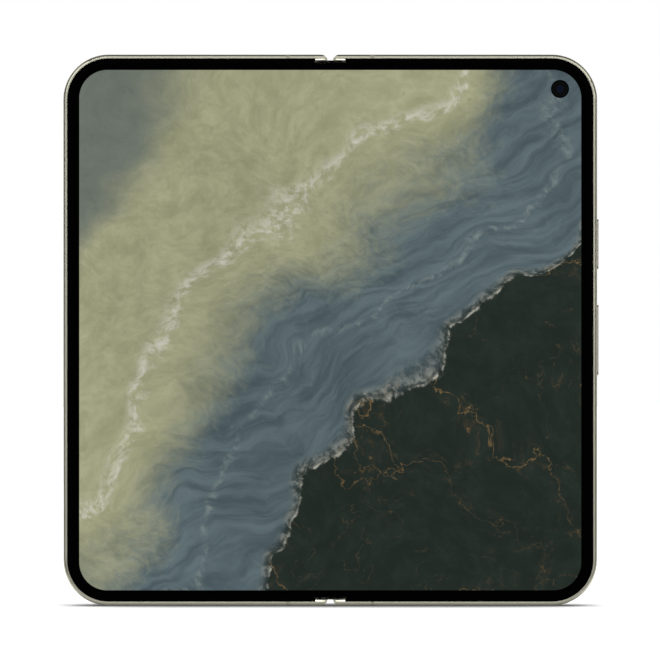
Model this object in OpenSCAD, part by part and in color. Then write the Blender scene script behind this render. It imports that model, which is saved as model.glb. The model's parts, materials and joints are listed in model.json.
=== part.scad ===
// Foldable smartphone, book style, standing open and flat with its inner screen to the front.
// Every part is drawn lying down: x to the right, y up the device, z towards the inner screen.
// stand() then turns it upright, so the screen faces -Y and the origin is at the bottom centre.
// The right half carries the rear cameras and the buttons, the left half the outer screen.
// The left half's pieces are drawn on the right and mirrored, because both halves share one frame.

/* [Overall size] */
// Width of the open device
open_width = 150.4; // [140:0.1:165]
// Height of the device
body_height = 155.2; // [150:0.1:170]
// Thickness of each half, from bezel rim to outer glass
body_thickness = 5.2; // [5.2:0.1:6.2]
// Radius of the outer corners seen from the front
corner_radius = 12.7; // [10:0.1:16]

/* [Metal frame] */
// Width of the metal band seen around the black bezel
band_width = 1.07; // [0.9:0.01:1.3]
// Thickness of the frame wall around the component bay
frame_wall = 1.6; // [1.4:0.1:2.2]
// Rounding of the band's long edges
edge_round = 0.8; // [0.3:0.05:0.85]
// How far the front edge of the band lies below the bezel rim
front_lip_drop = 0.15; // [0.05:0.01:0.3]
// How far the rear edge of the band lies below the outer glass
rear_lip_drop = 0.1; // [0.05:0.01:0.3]
// Thickness of the deck that carries the display
deck_thickness = 0.45; // [0.35:0.05:0.6]
// Width of the solid beam beside the hinge, measured from the fold line to the bay
beam_reach = 8; // [7.5:0.1:9]
// Width of the antenna breaks in the band
break_width = 1; // [0.6:0.1:1.6]
// Distance of the antenna breaks from the fold line
break_distance = 11.9; // [10:0.1:18]

/* [Display stack] */
// Thickness of the raised bezel rim
bezel_thickness = 0.3; // [0.2:0.05:0.4]
// Width of the raised bezel rim
bezel_width = 1.5; // [1:0.1:2.2]
// Thickness of the flexible display
panel_thickness = 0.45; // [0.35:0.05:0.55]
// Thickness of the metal plate behind the display
plate_thickness = 0.2; // [0.15:0.05:0.3]
// Half the width of the display strip that bends
fold_half = 4.3; // [4.1:0.1:5]
// Depth of the dark end caps of the bending strip
cap_depth = 0.45; // [0.3:0.05:0.6]
// Length of the slots in the support layer that bends
lattice_slot = 4; // [3:0.5:5]
// Width of those slots
lattice_slot_width = 0.4; // [0.3:0.05:0.6]
// Distance from one slot to the next in a row
lattice_pitch = 5.4; // [5:0.1:7]
// Distance from one row of slots to the next
lattice_row_pitch = 1.6; // [1.2:0.1:1.8]
// Clearance around the pieces of the display stack
stack_gap = 0.05; // [0.03:0.01:0.1]
// Distance of the inner camera from the right edge
inner_camera_from_side = 10.48; // [9:0.1:14]
// Distance of the inner camera from the top edge
inner_camera_from_top = 9.7; // [8:0.1:12]
// Radius of the inner camera's opening in the display
inner_camera_r = 2.3; // [1.8:0.05:2.6]

/* [Outer glass] */
// Thickness of the rear glass and of the outer screen's glass
glass_thickness = 0.65; // [0.5:0.05:0.8]
// Distance of the outer glass from the fold line
glass_from_fold = 5.45; // [5.2:0.05:6.5]
// Clearance around the outer glass
glass_gap = 0.05; // [0.03:0.01:0.1]
// Rounding of the outer glass's edge
glass_round = 0.25; // [0.1:0.05:0.4]
// Thickness of the outer screen's panel
outer_panel_thickness = 0.45; // [0.35:0.05:0.6]
// Radius of the camera behind the outer screen
cover_camera_r = 1.9; // [1.5:0.1:2.2]
// Distance of that camera from the top edge
cover_camera_from_top = 9.7; // [8.5:0.1:11]
// Length of the earpiece slot in the outer glass
earpiece_length = 9; // [7:0.5:12]
// How far the earpiece reaches past its slot
earpiece_over = 2; // [1:0.5:4]
// Depth of the earpiece below the top edge
earpiece_depth = 4; // [3:0.1:5]
// Width of the earpiece slot
earpiece_width = 0.6; // [0.4:0.1:0.9]
// Distance between the outer screen's panel and the bay wall
outer_panel_gap = 0.2; // [0.1:0.05:0.6]

/* [Hinge] */
// Depth of the hinge axes below the bezel rim
axis_depth = 1.95; // [1.9:0.01:2.05]
// Gap between the two bezel rims when the device is shut
shut_gap = 0.4; // [0.3:0.01:0.5]
// Wall of the spine cover
spine_wall = 0.6; // [0.45:0.05:0.7]
// Running gap between the spine cover and the frames
spine_gap = 0.15; // [0.1:0.01:0.2]
// Gap between the ends of the spine cover and the frame fingers
spine_end_gap = 0.25; // [0.15:0.05:0.5]
// Height of the spine cover's front edge above the hinge axes
spine_lip = 0.95; // [0.7:0.05:0.95]
// Distance of the frame fingers from the fold line
finger_from_fold = 0.7; // [0.5:0.05:1]
// Rounding of the finger ends seen from the front
finger_round = 2; // [1:0.1:2.5]
// Radius that the finger tips keep about their own hinge axis
finger_roll_r = 2.05; // [1.8:0.01:2.1]
// How far the finger ledge lies below the bezel rim
ledge_drop = 0.55; // [0.4:0.05:0.7]
// Distance that the end caps keep from the roll of the fingers
front_gap = 0.6; // [0.5:0.05:1]
// Distance of the frame's rear lip from the fold line
rear_lip_from_fold = 4; // [3.7:0.05:4.3]
// Distance of each hinge mechanism from the end of the device
hinge_from_end = 20; // [14:0.5:30]
// Radius of the hinge shafts
shaft_r = 0.5; // [0.4:0.01:0.52]
// Running clearance of the shafts in their bearing eyes
shaft_play = 0.03; // [0.02:0.01:0.05]
// Clearance of pieces that are pressed or clamped together
seat_play = 0.01; // [0.005:0.005:0.02]
// Radius of the bearing eyes and arm knuckles
eye_r = 0.95; // [0.9:0.01:0.95]
// Width of each bearing eye along the hinge
eye_width = 2; // [1.4:0.1:3]
// Width of the arm knuckles along the hinge
knuckle_width = 3.8; // [3:0.1:5]
// Side clearance between neighbours on the shafts
side_play = 0.1; // [0.05:0.01:0.15]
// Thickness of the hinge arms
arm_thickness = 0.8; // [0.6:0.05:0.8]
// Reach of the hinge arms from the fold line
arm_reach = 13; // [11:0.1:16]
// Width of the arm plates inside the frame
arm_plate_width = 12; // [10:0.5:16]
// Half the width of the hinge base inside the spine
base_half = 2.1; // [1.8:0.05:2.1]

/* [Synchronising gears] */
// Number of teeth on each gear
gear_teeth = 10; // [8:2:12]
// Width of the gears
gear_width = 1.4; // [1:0.1:2]
// Height of a tooth above the pitch circle
tooth_top = 0.1; // [0.06:0.01:0.12]
// Depth of a tooth below the pitch circle
tooth_root = 0.14; // [0.12:0.01:0.17]
// Share of the pitch that a tooth fills at the pitch circle
tooth_fill = 0.36; // [0.3:0.01:0.4]
// Radius of the idler pins
idler_pin_r = 0.25; // [0.2:0.01:0.28]
// Running clearance of the idlers on their pins
idler_play = 0.02; // [0.01:0.01:0.04]

/* [Friction washers] */
// Number of conical washers on each shaft
washer_count = 12; // [8:2:14]
// Thickness of a washer
washer_thickness = 0.4; // [0.3:0.05:0.5]
// Height of a washer's cone
washer_cone = 0.2; // [0.1:0.05:0.25]
// Outer radius of a washer
washer_r = 0.9; // [0.75:0.01:0.92]

/* [Fasteners] */
// Radius of the screw shanks
screw_r = 0.4; // [0.3:0.01:0.45]
// Radius of the screw heads
screw_head_r = 0.75; // [0.6:0.01:0.85]
// Height of the screw heads
screw_head_t = 0.35; // [0.25:0.05:0.4]
// Length of the arm screws
arm_screw_length = 2; // [1.6:0.1:2.2]

/* [Buttons] */
// Length of the power button
power_length = 14.3; // [12:0.1:16]
// Distance of the power button's centre from the top edge
power_from_top = 53.5; // [50:0.5:56]
// Length of the volume rocker
volume_length = 19.95; // [17:0.1:22]
// Distance of the volume rocker's centre from the top edge
volume_from_top = 80.5; // [78:0.5:86]
// Width of the buttons across the edge of the device
button_width = 2.2; // [1.8:0.1:2.4]
// How far the buttons stand out of the edge
button_proud = 0.42; // [0.3:0.01:0.6]
// Travel of the buttons
button_travel = 0.25; // [0.2:0.01:0.3]
// Clearance around the buttons in their slots
button_play = 0.08; // [0.05:0.01:0.12]
// Rounding of the buttons' long edges
button_round = 0.3; // [0.15:0.05:0.5]
// Thickness of the buttons' inner flange
flange_thickness = 0.5; // [0.3:0.05:0.6]
// How far the flange reaches past the slot
flange_over = 0.4; // [0.25:0.05:0.5]
// Depth of the switches behind the buttons
switch_depth = 1; // [0.8:0.1:1.2]
// Length of a switch along the edge
switch_length = 3.2; // [2:0.1:4.5]
// Width of a switch across the edge
switch_width = 2.2; // [1.5:0.1:2.6]
// Height of a switch's dome
switch_dome = 0.2; // [0.1:0.05:0.3]
// Radius of a switch's dome
switch_dome_r = 0.7; // [0.4:0.05:0.9]

/* [Rear cameras] */
// Width of the camera island
island_width = 36; // [34:0.5:42]
// Height of the camera island
island_height = 38; // [36:0.5:44]
// Corner radius of the camera island
island_corner = 10; // [7:0.5:12]
// How far the camera island stands out of the rear glass
island_proud = 1.9; // [1.4:0.1:2]
// Rounding of the camera island's edge
island_edge = 0.6; // [0.3:0.05:0.8]
// Distance of the camera island from the side of the device
island_from_side = 7.7; // [6:0.1:9]
// Distance of the camera island from the top of the device
island_from_top = 7.5; // [6:0.1:9]
// Sideways spacing of the cameras
camera_spacing_x = 14; // [13:0.1:15]
// Upright spacing of the cameras
camera_spacing_y = 14.5; // [13.5:0.1:16]
// Length of a camera window
window_length = 27; // [26:0.1:29]
// Width of a camera window
window_width = 11.5; // [11:0.1:12.5]
// Thickness of a camera window
window_thickness = 0.6; // [0.4:0.05:0.8]
// Margin between the island's neck and its outer edge
neck_margin = 3.5; // [3:0.1:4]
// Barrel radius of the wide camera
wide_r = 4.4; // [3.8:0.1:4.8]
// Barrel radius of the ultrawide camera
ultrawide_r = 3.4; // [3:0.1:4]
// Barrel radius of the telephoto camera
telephoto_r = 3.9; // [3.4:0.1:4.4]
// Radius of the flash lamp
flash_r = 2.2; // [1.8:0.1:2.6]
// How far a camera's housing reaches past its barrel
housing_over = 0.8; // [0.4:0.1:1.2]
// Step of the ring at the front of a camera's barrel
ring_step = 0.5; // [0.3:0.1:0.8]
// Number of steps down to a camera's lens
well_steps = 3; // [1:1:4]
// Width of a step
well_inset = 0.4; // [0.2:0.05:0.45]
// Drop at a step
well_drop = 0.2; // [0.1:0.05:0.25]
// Height of a camera's bulging lens
lens_bulge = 0.4; // [0.2:0.05:0.5]
// Clearance around barrels, windows and neck
camera_gap = 0.1; // [0.05:0.01:0.15]

/* [Socket and openings] */
// Width of the charging socket's opening
socket_width = 8.34; // [8.34:0.01:8.5]
// Height of the charging socket's opening
socket_height = 2.56; // [2.5:0.01:2.56]
// Wall of the socket's shell
socket_wall = 0.27; // [0.2:0.01:0.28]
// Depth of the socket
socket_depth = 7.4; // [7:0.1:8]
// Width of the contact tongue
tongue_width = 6.69; // [6.5:0.01:6.8]
// Thickness of the contact tongue
tongue_thickness = 0.7; // [0.6:0.01:0.8]
// Number of speaker holes
speaker_holes = 6; // [4:1:7]
// Radius of the speaker holes
speaker_hole_r = 0.6; // [0.4:0.05:0.7]
// Spacing of the speaker holes
speaker_pitch = 2; // [1.8:0.1:2.2]
// How far the speaker reaches past its row of holes
speaker_over = 2.5; // [1.5:0.1:3]
// Depth of the speaker behind the edge
speaker_depth = 7.4; // [5:0.1:10]
// Width of the vibration motor
motor_width = 14; // [8:0.5:14]
// Depth of the vibration motor behind the edge
motor_depth = 5.4; // [4:0.1:10]
// Gap between the vibration motor and the socket
motor_gap = 2.6; // [0.5:0.1:4]
// Radius of the microphone holes
microphone_r = 0.4; // [0.3:0.05:0.6]
// Distance of the microphone holes from the antenna breaks
microphone_from_break = 7; // [3:0.5:10]

/* [SIM tray] */
// Length of the tray's face along the edge
tray_face_length = 14; // [13.5:0.1:16]
// Width of the tray's face across the edge
tray_face_width = 2.2; // [2:0.1:2.4]
// Depth of the tray behind its face
tray_depth = 18; // [17:0.1:19]
// Width of the tray behind its face
tray_width = 12.4; // [12:0.1:12.8]
// Thickness of the tray
tray_thickness = 1.2; // [1:0.1:1.4]
// Clearance around the tray
tray_play = 0.08; // [0.05:0.01:0.1]
// Radius of the tray's release hole
release_r = 0.45; // [0.35:0.05:0.6]
// Distance of the tray's centre from the bottom edge
tray_from_bottom = 28; // [26:0.5:30]
// Width of the card that the tray holds
card_width = 8.8; // [8.8:0.1:9]
// Length of the card that the tray holds
card_length = 12.3; // [12.3:0.1:12.5]
// Width of the tray's bar at its inner end
tray_bar = 2.5; // [2:0.1:3]
// Width of the ledge under the edges of the card
card_ledge = 1; // [0.6:0.1:1.4]
// Gap behind the inner end of the tray
tray_end_gap = 0.5; // [0.3:0.1:1]
// Thickness of the card reader's wall
reader_wall = 0.25; // [0.2:0.05:0.3]

/* [Inside pieces] */
// Corner radius of small housings
box_corner = 0.3; // [0.2:0.05:0.5]
// Gap between the inside pieces and what holds them
fit_gap = 0.05; // [0.03:0.01:0.1]
// Distance of the inside pieces from the beam
inside_from_beam = 6.5; // [6:0.1:8]
// Distance of the boards' lower edges from the top of the device
board_from_top = 59; // [58:0.5:60]
// Distance of the boards' upper edges from the top of the device
board_top_margin = 5.5; // [4:0.5:6]
// Distances of the ribbon cables' centres from the top of the device
ribbon_from_top = [54, 12];
// Gap between the card reader and the lower closing magnets above it
magnet_reader_gap = 9.47; // [2:0.01:12]
// Distance of the upper closing magnets' lower ends from the top of the device
magnet_from_top = 37.2; // [34:0.1:40]
// Gap between the batteries or boards and the pieces along the device's side
side_margin = 1.2; // [0.6:0.1:4]
// Gap between the batteries and the boards above them
battery_board_gap = 4.2; // [2:0.1:8]
// Distance of the main battery from the bottom edge
battery_from_bottom = 27; // [12:0.5:40]
// Gap between the card reader and the second battery above it
battery_reader_gap = 7; // [1:0.5:12]
// Width and height of the notch in the second board
board_notch = [16, 14];
// Radius of the screw holes in the boards
board_hole_r = 0.8; // [0.5:0.1:1.2]
// Distance of the screw holes from the edges of the boards
board_hole_inset = 1.6; // [1.4:0.1:3]
// Margin of the shield cans on the boards
can_margin = 3; // [1:0.5:4]
// Corner radius of the shield cans
can_corner = 0.8; // [0.3:0.1:2]
// Corner radius of the batteries
battery_corner = 1.5; // [0.5:0.1:3]
// Thickness of the circuit boards
board_thickness = 0.75; // [0.6:0.05:0.9]
// Height of the shield cans on the boards
can_height = 1.2; // [0.8:0.1:1.3]
// Outer radius of the charging coil
coil_r = 23; // [18:0.5:25]
// Inner radius of the charging coil
coil_bore_r = 11; // [8:0.5:14]
// Thickness of the charging coil
coil_thickness = 0.6; // [0.3:0.05:0.7]
// Length of the closing magnets
magnet_length = 14; // [8:0.5:14]
// Width of the closing magnets
magnet_width = 1.8; // [1.2:0.1:2]
// Thickness of the closing magnets
magnet_thickness = 1.6; // [1:0.1:2]
// Width of the ribbon cables that cross the hinge
ribbon_width = 6; // [4:0.5:8]
// Thickness of the ribbon cables
ribbon_thickness = 0.15; // [0.1:0.01:0.2]

/* [Hidden] */
$fn = 64;

// Reach of the tools that cut right through
past = 20;

// Heights of the layers, from the inner screen to the outer glass
half_width = open_width / 2;
rim_z = body_thickness / 2;
outer_z = -body_thickness / 2;
bezel_z = rim_z - bezel_thickness;
panel_z = bezel_z - panel_thickness;
deck_z = panel_z - plate_thickness;
bay_top = deck_z - deck_thickness;
bay_floor = outer_z + glass_thickness;
lip_front = rim_z - front_lip_drop;
lip_rear = outer_z + rear_lip_drop;
bay_mid = (bay_top + bay_floor) / 2;
wall_x = half_width - frame_wall;

// Hinge axes, and the spine cover that is round about them
axis_z = rim_z - axis_depth;
axis_x = axis_depth + shut_gap / 2;
spine_r = axis_z - outer_z;
spine_inner_r = spine_r - spine_wall;
spine_floor = axis_z - spine_inner_r;
spine_top = axis_z + spine_lip;
spine_y = frame_wall + spine_end_gap;
recess_r = spine_r + spine_gap;
front_of_recess = axis_x + recess_r;
fold_edge = fold_half - stack_gap;
strip_y = spine_y + cap_depth + stack_gap;

// Places along one hinge mechanism, from the end nearest the edge of the device
knuckle_y = eye_width + side_play;
gear_y = knuckle_y + knuckle_width + side_play;
middle_eye_y = gear_y + gear_width + side_play;
washer_y = middle_eye_y + eye_width + side_play;
washer_pitch = washer_thickness + washer_cone;
last_eye_y = washer_y + washer_count * washer_pitch + side_play;
hinge_length = last_eye_y + eye_width;
pin_y = gear_y - side_play - gear_width;
arm_z = axis_z + side_play;
arm_top = arm_z + arm_thickness;
base_top = axis_z - eye_r - side_play;
shelf_x = arm_reach + screw_head_r;
arm_screw_y = [
    knuckle_y + screw_head_r * 2,
    knuckle_y + arm_plate_width / 2,
    knuckle_y + arm_plate_width - screw_head_r * 2
];
arm_screw_x = arm_reach - screw_head_r * 2;
base_screw_y = [eye_width + knuckle_width / 4, washer_y + (last_eye_y - washer_y) / 2];

// Four equal gears in a row fill the distance between the two hinge axes
pitch_r = axis_x / 3;
tooth_angle = 360 / gear_teeth;

// Buttons, measured from the outer edge inwards
power_y = body_height - power_from_top;
volume_y = body_height - volume_from_top;
flange_x = wall_x - side_play - flange_thickness;
switch_x = flange_x - button_travel - fit_gap;

// Inside pieces lie between the hinge's beams and the switches, the batteries below the boards
inside_x = beam_reach + inside_from_beam;
inside_width = switch_x - switch_depth - side_margin - inside_x;
inside_top = bay_top - fit_gap;
board_z = inside_top - board_thickness;
board_y = body_height - board_from_top;
board_top_y = body_height - board_top_margin;
battery_top = board_y - battery_board_gap;
reader_top = tray_from_bottom + tray_width / 2 + tray_play + reader_wall;
second_battery_y = reader_top + battery_reader_gap;
ribbon_z = arm_z + side_play;
ribbon_y = [for (distance = ribbon_from_top) body_height - distance];
ribbon_gap = 0.3;
magnet_y = [reader_top + magnet_reader_gap, body_height - magnet_from_top];
magnet_x = wall_x - fit_gap - magnet_width;

// Rear cameras
island_x = half_width - island_from_side - island_width / 2;
island_y = body_height - island_from_top - island_height / 2;
island_z = outer_z - island_proud;
window_z = island_z + window_thickness;
left_camera = island_x - camera_spacing_x / 2;
right_camera = island_x + camera_spacing_x / 2;
lower_camera = island_y - camera_spacing_y / 2;
upper_camera = island_y + camera_spacing_y / 2;
neck_width = island_width - 2 * neck_margin;
neck_height = island_height - 2 * neck_margin;
neck_corner = island_corner - neck_margin;
inner_camera_x = half_width - inner_camera_from_side;
inner_camera_y = body_height - inner_camera_from_top;

// Main board: the end of its column and the top of its foot keep clear of the rear cameras
column_end = island_x - neck_width / 2 - camera_gap;
foot_top = lower_camera - telephoto_r - housing_over - fit_gap - camera_gap;

// Charging socket, speaker and motor on the bottom edge of the right half
socket_x = half_width / 2;
speaker_row = (speaker_holes - 1) * speaker_pitch;
speaker_half = speaker_row / 2 + speaker_over;
speaker_mid = half_width - corner_radius - fit_gap - speaker_half;
speaker_x = speaker_mid - speaker_row / 2;
motor_x = socket_x - socket_width / 2 - socket_wall - motor_gap;

// Tray, drawn on the right like everything else in the left half
tray_y = tray_from_bottom;
tray_x = wall_x - tray_depth;

// Outer screen, camera and earpiece of the left half
outer_panel_z = bay_floor + outer_panel_thickness;
cover_floor = outer_panel_z + fit_gap;
cover_mid_x = (beam_reach + wall_x) / 2;
cover_camera_y = body_height - cover_camera_from_top;

// Colours as the photograph shows them
metal = "#a9a890";
bright_metal = "#cdc7bf";
black = "#0b0c0e";
screen = "#3b4a45";
glass_sage = "#8f947f";
steel = "#9a9a9a";
brass = "#b08d57";
copper = "#b87333";
board_green = "#1f4d3a";

// Stands the lying device upright
module stand() {
    rotate([90, 0, 0]) children();
}

// Turns a piece that was drawn for the right half into its twin on the left half
module on_left() {
    mirror([1, 0, 0]) children();
}

// Extrudes an outline drawn in x and z along the device
module along_y(low, high) {
    translate([0, high, 0]) rotate([90, 0, 0]) linear_extrude(high - low) children();
}

// Extrudes an outline drawn in y and z across the device
module along_x(low, high) {
    translate([low, 0, 0]) rotate([90, 0, 90]) linear_extrude(high - low) children();
}

// Box between two corners
module box(low, high) {
    translate(low) cube(high - low);
}

// Rounded rectangle about the origin
module rounded(w, h, r) {
    square([w - 2 * r, h], center = true);
    square([w, h - 2 * r], center = true);
    for (x = [-1, 1]) {
        for (y = [-1, 1]) {
            translate([x * (w / 2 - r), y * (h / 2 - r)]) circle(r);
        }
    }
}

// Bar with round ends about the origin
module stadium(length, width) {
    square([length - width, width], center = true);
    for (x = [-1, 1]) {
        translate([x * (length - width) / 2, 0]) circle(width / 2);
    }
}

// Sweeps a section around a rounded rectangle: x = 0 of the section follows the outline
module around(w, h, r) {
    for (turn = [0 : 3]) {
        reach = (turn % 2 == 0 ? w : h) / 2;
        run = (turn % 2 == 0 ? h : w) - 2 * r;
        rotate([0, 0, 90 * turn]) {
            translate([reach, run / 2, 0]) rotate([90, 0, 0]) linear_extrude(run) children();
            translate([reach - r, run / 2, 0]) rotate_extrude(angle = 90) translate([r, 0]) children();
        }
    }
}

// One half of a layer: the device's outline set in by inset, right of the line x = inner
module half_layer(inner, inset, low, high) {
    intersection() {
        translate([0, body_height / 2, low]) linear_extrude(high - low)
            rounded(open_width - 2 * inset, body_height - 2 * inset, corner_radius - inset);
        box([inner, -past, low], [half_width + past, body_height + past, high]);
    }
}

// Repeats a piece of the hinge at both ends of the device
module both_ends() {
    translate([0, hinge_from_end, 0]) children();
    translate([0, body_height - hinge_from_end, 0]) mirror([0, 1, 0]) children();
}

// Metal band: rounded outside, stepped inside for display, bay and outer glass
module band_section() {
    intersection() {
        for (z = [lip_rear + edge_round, lip_front - edge_round]) {
            translate([-edge_round, z]) circle(edge_round);
        }
        translate([-edge_round, lip_rear]) square([edge_round, lip_front - lip_rear]);
    }
    translate([-edge_round, lip_rear + edge_round])
        square([edge_round, lip_front - lip_rear - 2 * edge_round]);
    translate([-band_width, lip_rear]) square([band_width - edge_round, lip_front - lip_rear]);
    translate([-frame_wall, bay_floor]) square([frame_wall - edge_round, deck_z - bay_floor]);
}

module band() {
    intersection() {
        translate([0, body_height / 2, 0]) around(open_width, body_height, corner_radius) band_section();
        box([finger_from_fold, -past, outer_z], [half_width + past, body_height + past, rim_z]);
    }
}

// Rounds the free ends of the two fingers, seen from the front
module finger_corner_cut() {
    difference() {
        box([finger_from_fold - 1, -1, outer_z - 1],
            [finger_from_fold + finger_round, finger_round, rim_z + 1]);
        translate([finger_from_fold + finger_round, finger_round, outer_z - 2])
            cylinder(r = finger_round, h = body_thickness + 4);
    }
}

// Keeps the finger tips within their rolling radius, so that the two halves roll past each other
module finger_roll_cut() {
    difference() {
        box([finger_from_fold - 1, -1, axis_z], [axis_x, body_height + 1, rim_z + 1]);
        translate([axis_x, -2, axis_z]) rotate([-90, 0, 0])
            cylinder(r = finger_roll_r, h = body_height + 4);
    }
}

// Space that the spine and the hinge keep free between the fingers
module hinge_recess() {
    along_y(frame_wall, body_height - frame_wall) {
        translate([axis_x, axis_z]) circle(recess_r);
        translate([-past, outer_z - 1]) square([past + rear_lip_from_fold, body_thickness + 2]);
        translate([-past, axis_z]) square([past + front_of_recess, body_thickness]);
    }
}

// Frame that both halves share: band, deck, hinge beam, fingers and the arms' shelves
module half_frame() {
    tuck = (edge_round + band_width) / 2;
    difference() {
        union() {
            difference() {
                union() {
                    band();
                    half_layer(rear_lip_from_fold, tuck, lip_rear, deck_z);
                }
                half_layer(beam_reach, frame_wall, outer_z - 1, bay_top);
                half_layer(glass_from_fold - glass_gap, band_width, outer_z - 1, bay_floor);
            }
            both_ends() box([beam_reach - 1, knuckle_y, bay_floor],
                [shelf_x, knuckle_y + arm_plate_width, arm_z]);
            for (low = [band_width - stack_gap, body_height - frame_wall]) {
                box([finger_from_fold, low, axis_z],
                    [fold_edge, low + frame_wall - band_width + stack_gap, rim_z - ledge_drop]);
            }
        }
        hinge_recess();
        finger_roll_cut();
        finger_corner_cut();
        translate([0, body_height, 0]) mirror([0, 1, 0]) finger_corner_cut();
        both_ends() {
            box([axis_x, knuckle_y - stack_gap, arm_z],
                [arm_reach + stack_gap, knuckle_y + arm_plate_width + stack_gap, rim_z + 1]);
            for (y = arm_screw_y) {
                translate([arm_screw_x, y, arm_top - arm_screw_length - stack_gap])
                    cylinder(r = screw_r + seat_play, h = arm_screw_length + 1);
            }
        }
        for (y = ribbon_y) {
            box([axis_x, y - ribbon_width / 2 - ribbon_gap, ribbon_z - side_play],
                [beam_reach + 1, y + ribbon_width / 2 + ribbon_gap, bay_top]);
        }
        for (side = [-1, body_height - band_width]) {
            box([break_distance - break_width / 2, side, outer_z - 1],
                [break_distance + break_width / 2, side + band_width + 1, rim_z + 1]);
        }
    }
}

// Slot through the frame wall for a piece with round ends, centred at y and the bay's mid height
module edge_slot(y, length, width) {
    along_x(wall_x - 1, half_width + 1) translate([y, bay_mid]) stadium(length, width);
}

// Round hole through the bottom edge, or at y = body_height - frame_wall through the top edge
module edge_hole(x, y, r) {
    translate([x, y - 1, bay_mid]) rotate([-90, 0, 0]) cylinder(r = r, h = frame_wall + 2);
}

module main_frame() {
    color(metal) stand() difference() {
        half_frame();
        edge_slot(power_y, power_length + 2 * button_play, button_width + 2 * button_play);
        edge_slot(volume_y, volume_length + 2 * button_play, button_width + 2 * button_play);
        along_y(-1, frame_wall + 1) translate([socket_x, bay_mid])
            stadium(socket_width + 2 * socket_wall, socket_height + 2 * socket_wall);
        for (hole = [0 : speaker_holes - 1]) {
            edge_hole(speaker_x + hole * speaker_pitch, 0, speaker_hole_r);
        }
        edge_hole(break_distance + microphone_from_break, 0, microphone_r);
        translate([inner_camera_x, inner_camera_y, bay_top - 1])
            cylinder(r = inner_camera_r, h = body_thickness);
    }
}

module cover_frame() {
    color(metal) stand() on_left() difference() {
        half_frame();
        edge_slot(tray_y, tray_face_length + 2 * tray_play, tray_face_width + 2 * tray_play);
        edge_hole(break_distance + microphone_from_break, body_height - frame_wall, microphone_r);
    }
}

// Plastic breaks that part the band into antennas
module antenna_breaks() {
    intersection() {
        translate([0, body_height / 2, 0]) around(open_width, body_height, corner_radius)
            intersection() {
                band_section();
                translate([-band_width, outer_z]) square([band_width, body_thickness]);
            }
        for (side = [-1, body_height - band_width]) {
            box([break_distance - break_width / 2, side, outer_z - 1],
                [break_distance + break_width / 2, side + band_width + 1, rim_z + 1]);
        }
    }
}

module antenna_breaks_main() {
    color(glass_sage) stand() antenna_breaks();
}

module antenna_breaks_cover() {
    color(glass_sage) stand() on_left() antenna_breaks();
}

// Display stack: rim on the panel, panel on the plate, plate on the deck
module half_bezel() {
    inset = band_width + stack_gap;
    difference() {
        half_layer(fold_half, inset, bezel_z, rim_z);
        half_layer(-1, inset + bezel_width, bezel_z - 1, rim_z + 1);
    }
}

module half_panel() {
    half_layer(fold_half, band_width + stack_gap, panel_z, bezel_z);
}

module half_plate() {
    half_layer(front_of_recess + stack_gap, band_width + stack_gap, deck_z, panel_z);
}

module inner_camera_hole() {
    translate([inner_camera_x, inner_camera_y, bay_floor])
        cylinder(r = inner_camera_r, h = body_thickness);
}

module inner_bezel_main() {
    color(black) stand() half_bezel();
}

module inner_bezel_cover() {
    color(black) stand() on_left() half_bezel();
}

module inner_display_main() {
    color(screen) stand() difference() {
        half_panel();
        inner_camera_hole();
    }
}

module inner_display_cover() {
    color(screen) stand() on_left() half_panel();
}

module display_plate_main() {
    color(steel) stand() difference() {
        half_plate();
        inner_camera_hole();
    }
}

module display_plate_cover() {
    color(steel) stand() on_left() half_plate();
}

// Camera under the display's round opening: barrel, shoulder and housing below the deck
module inner_camera() {
    barrel_r = inner_camera_r - stack_gap;
    housing_r = inner_camera_r + flange_over;
    color(black) stand() translate([inner_camera_x, inner_camera_y, 0]) {
        translate([0, 0, inside_top - 1]) cylinder(r = barrel_r, h = bezel_z - stack_gap - inside_top + 1);
        translate([0, 0, bay_mid]) cylinder(r = housing_r, h = inside_top - bay_mid);
    }
}

// Edge of the outer glass: a quarter round on the outside
module glass_section() {
    intersection() {
        translate([-glass_round, outer_z + glass_round]) circle(glass_round);
        translate([-glass_round, outer_z]) square([glass_round, glass_round]);
    }
    translate([-glass_round, outer_z + glass_round]) square([glass_round, glass_thickness - glass_round]);
    translate([-band_width, outer_z]) square([band_width - glass_round, glass_thickness]);
}

// Outer glass of one half, flush in its seat
module half_glass() {
    inset = band_width + glass_gap;
    intersection() {
        union() {
            translate([0, body_height / 2, 0])
                around(open_width - 2 * inset, body_height - 2 * inset, corner_radius - inset)
                    glass_section();
            half_layer(0, inset + band_width / 2, outer_z, bay_floor);
        }
        box([glass_from_fold, 0, outer_z], [half_width, body_height, bay_floor]);
    }
}

module back_glass() {
    color(glass_sage) stand() difference() {
        half_glass();
        translate([island_x, island_y, outer_z - 1]) linear_extrude(glass_thickness + 2)
            rounded(neck_width + 2 * camera_gap, neck_height + 2 * camera_gap, neck_corner + camera_gap);
    }
}

module cover_glass() {
    color(black) stand() on_left() difference() {
        half_glass();
        translate([cover_mid_x, body_height - band_width - glass_gap, outer_z - 1])
            linear_extrude(glass_thickness + 2) square([earpiece_length, earpiece_width], center = true);
    }
}

// Edge of the camera island: a quarter round on the outside
module island_section() {
    translate([-island_edge, island_z + island_edge]) circle(island_edge);
    translate([-island_edge, island_z + island_edge])
        square([island_edge, island_proud - island_edge]);
    translate([-neck_margin, island_z]) square([neck_margin - island_edge, island_proud]);
}

// Places a pill window of the camera island
module pill(y, length, width) {
    translate([island_x, y, 0]) linear_extrude(past) stadium(length, width);
}

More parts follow.
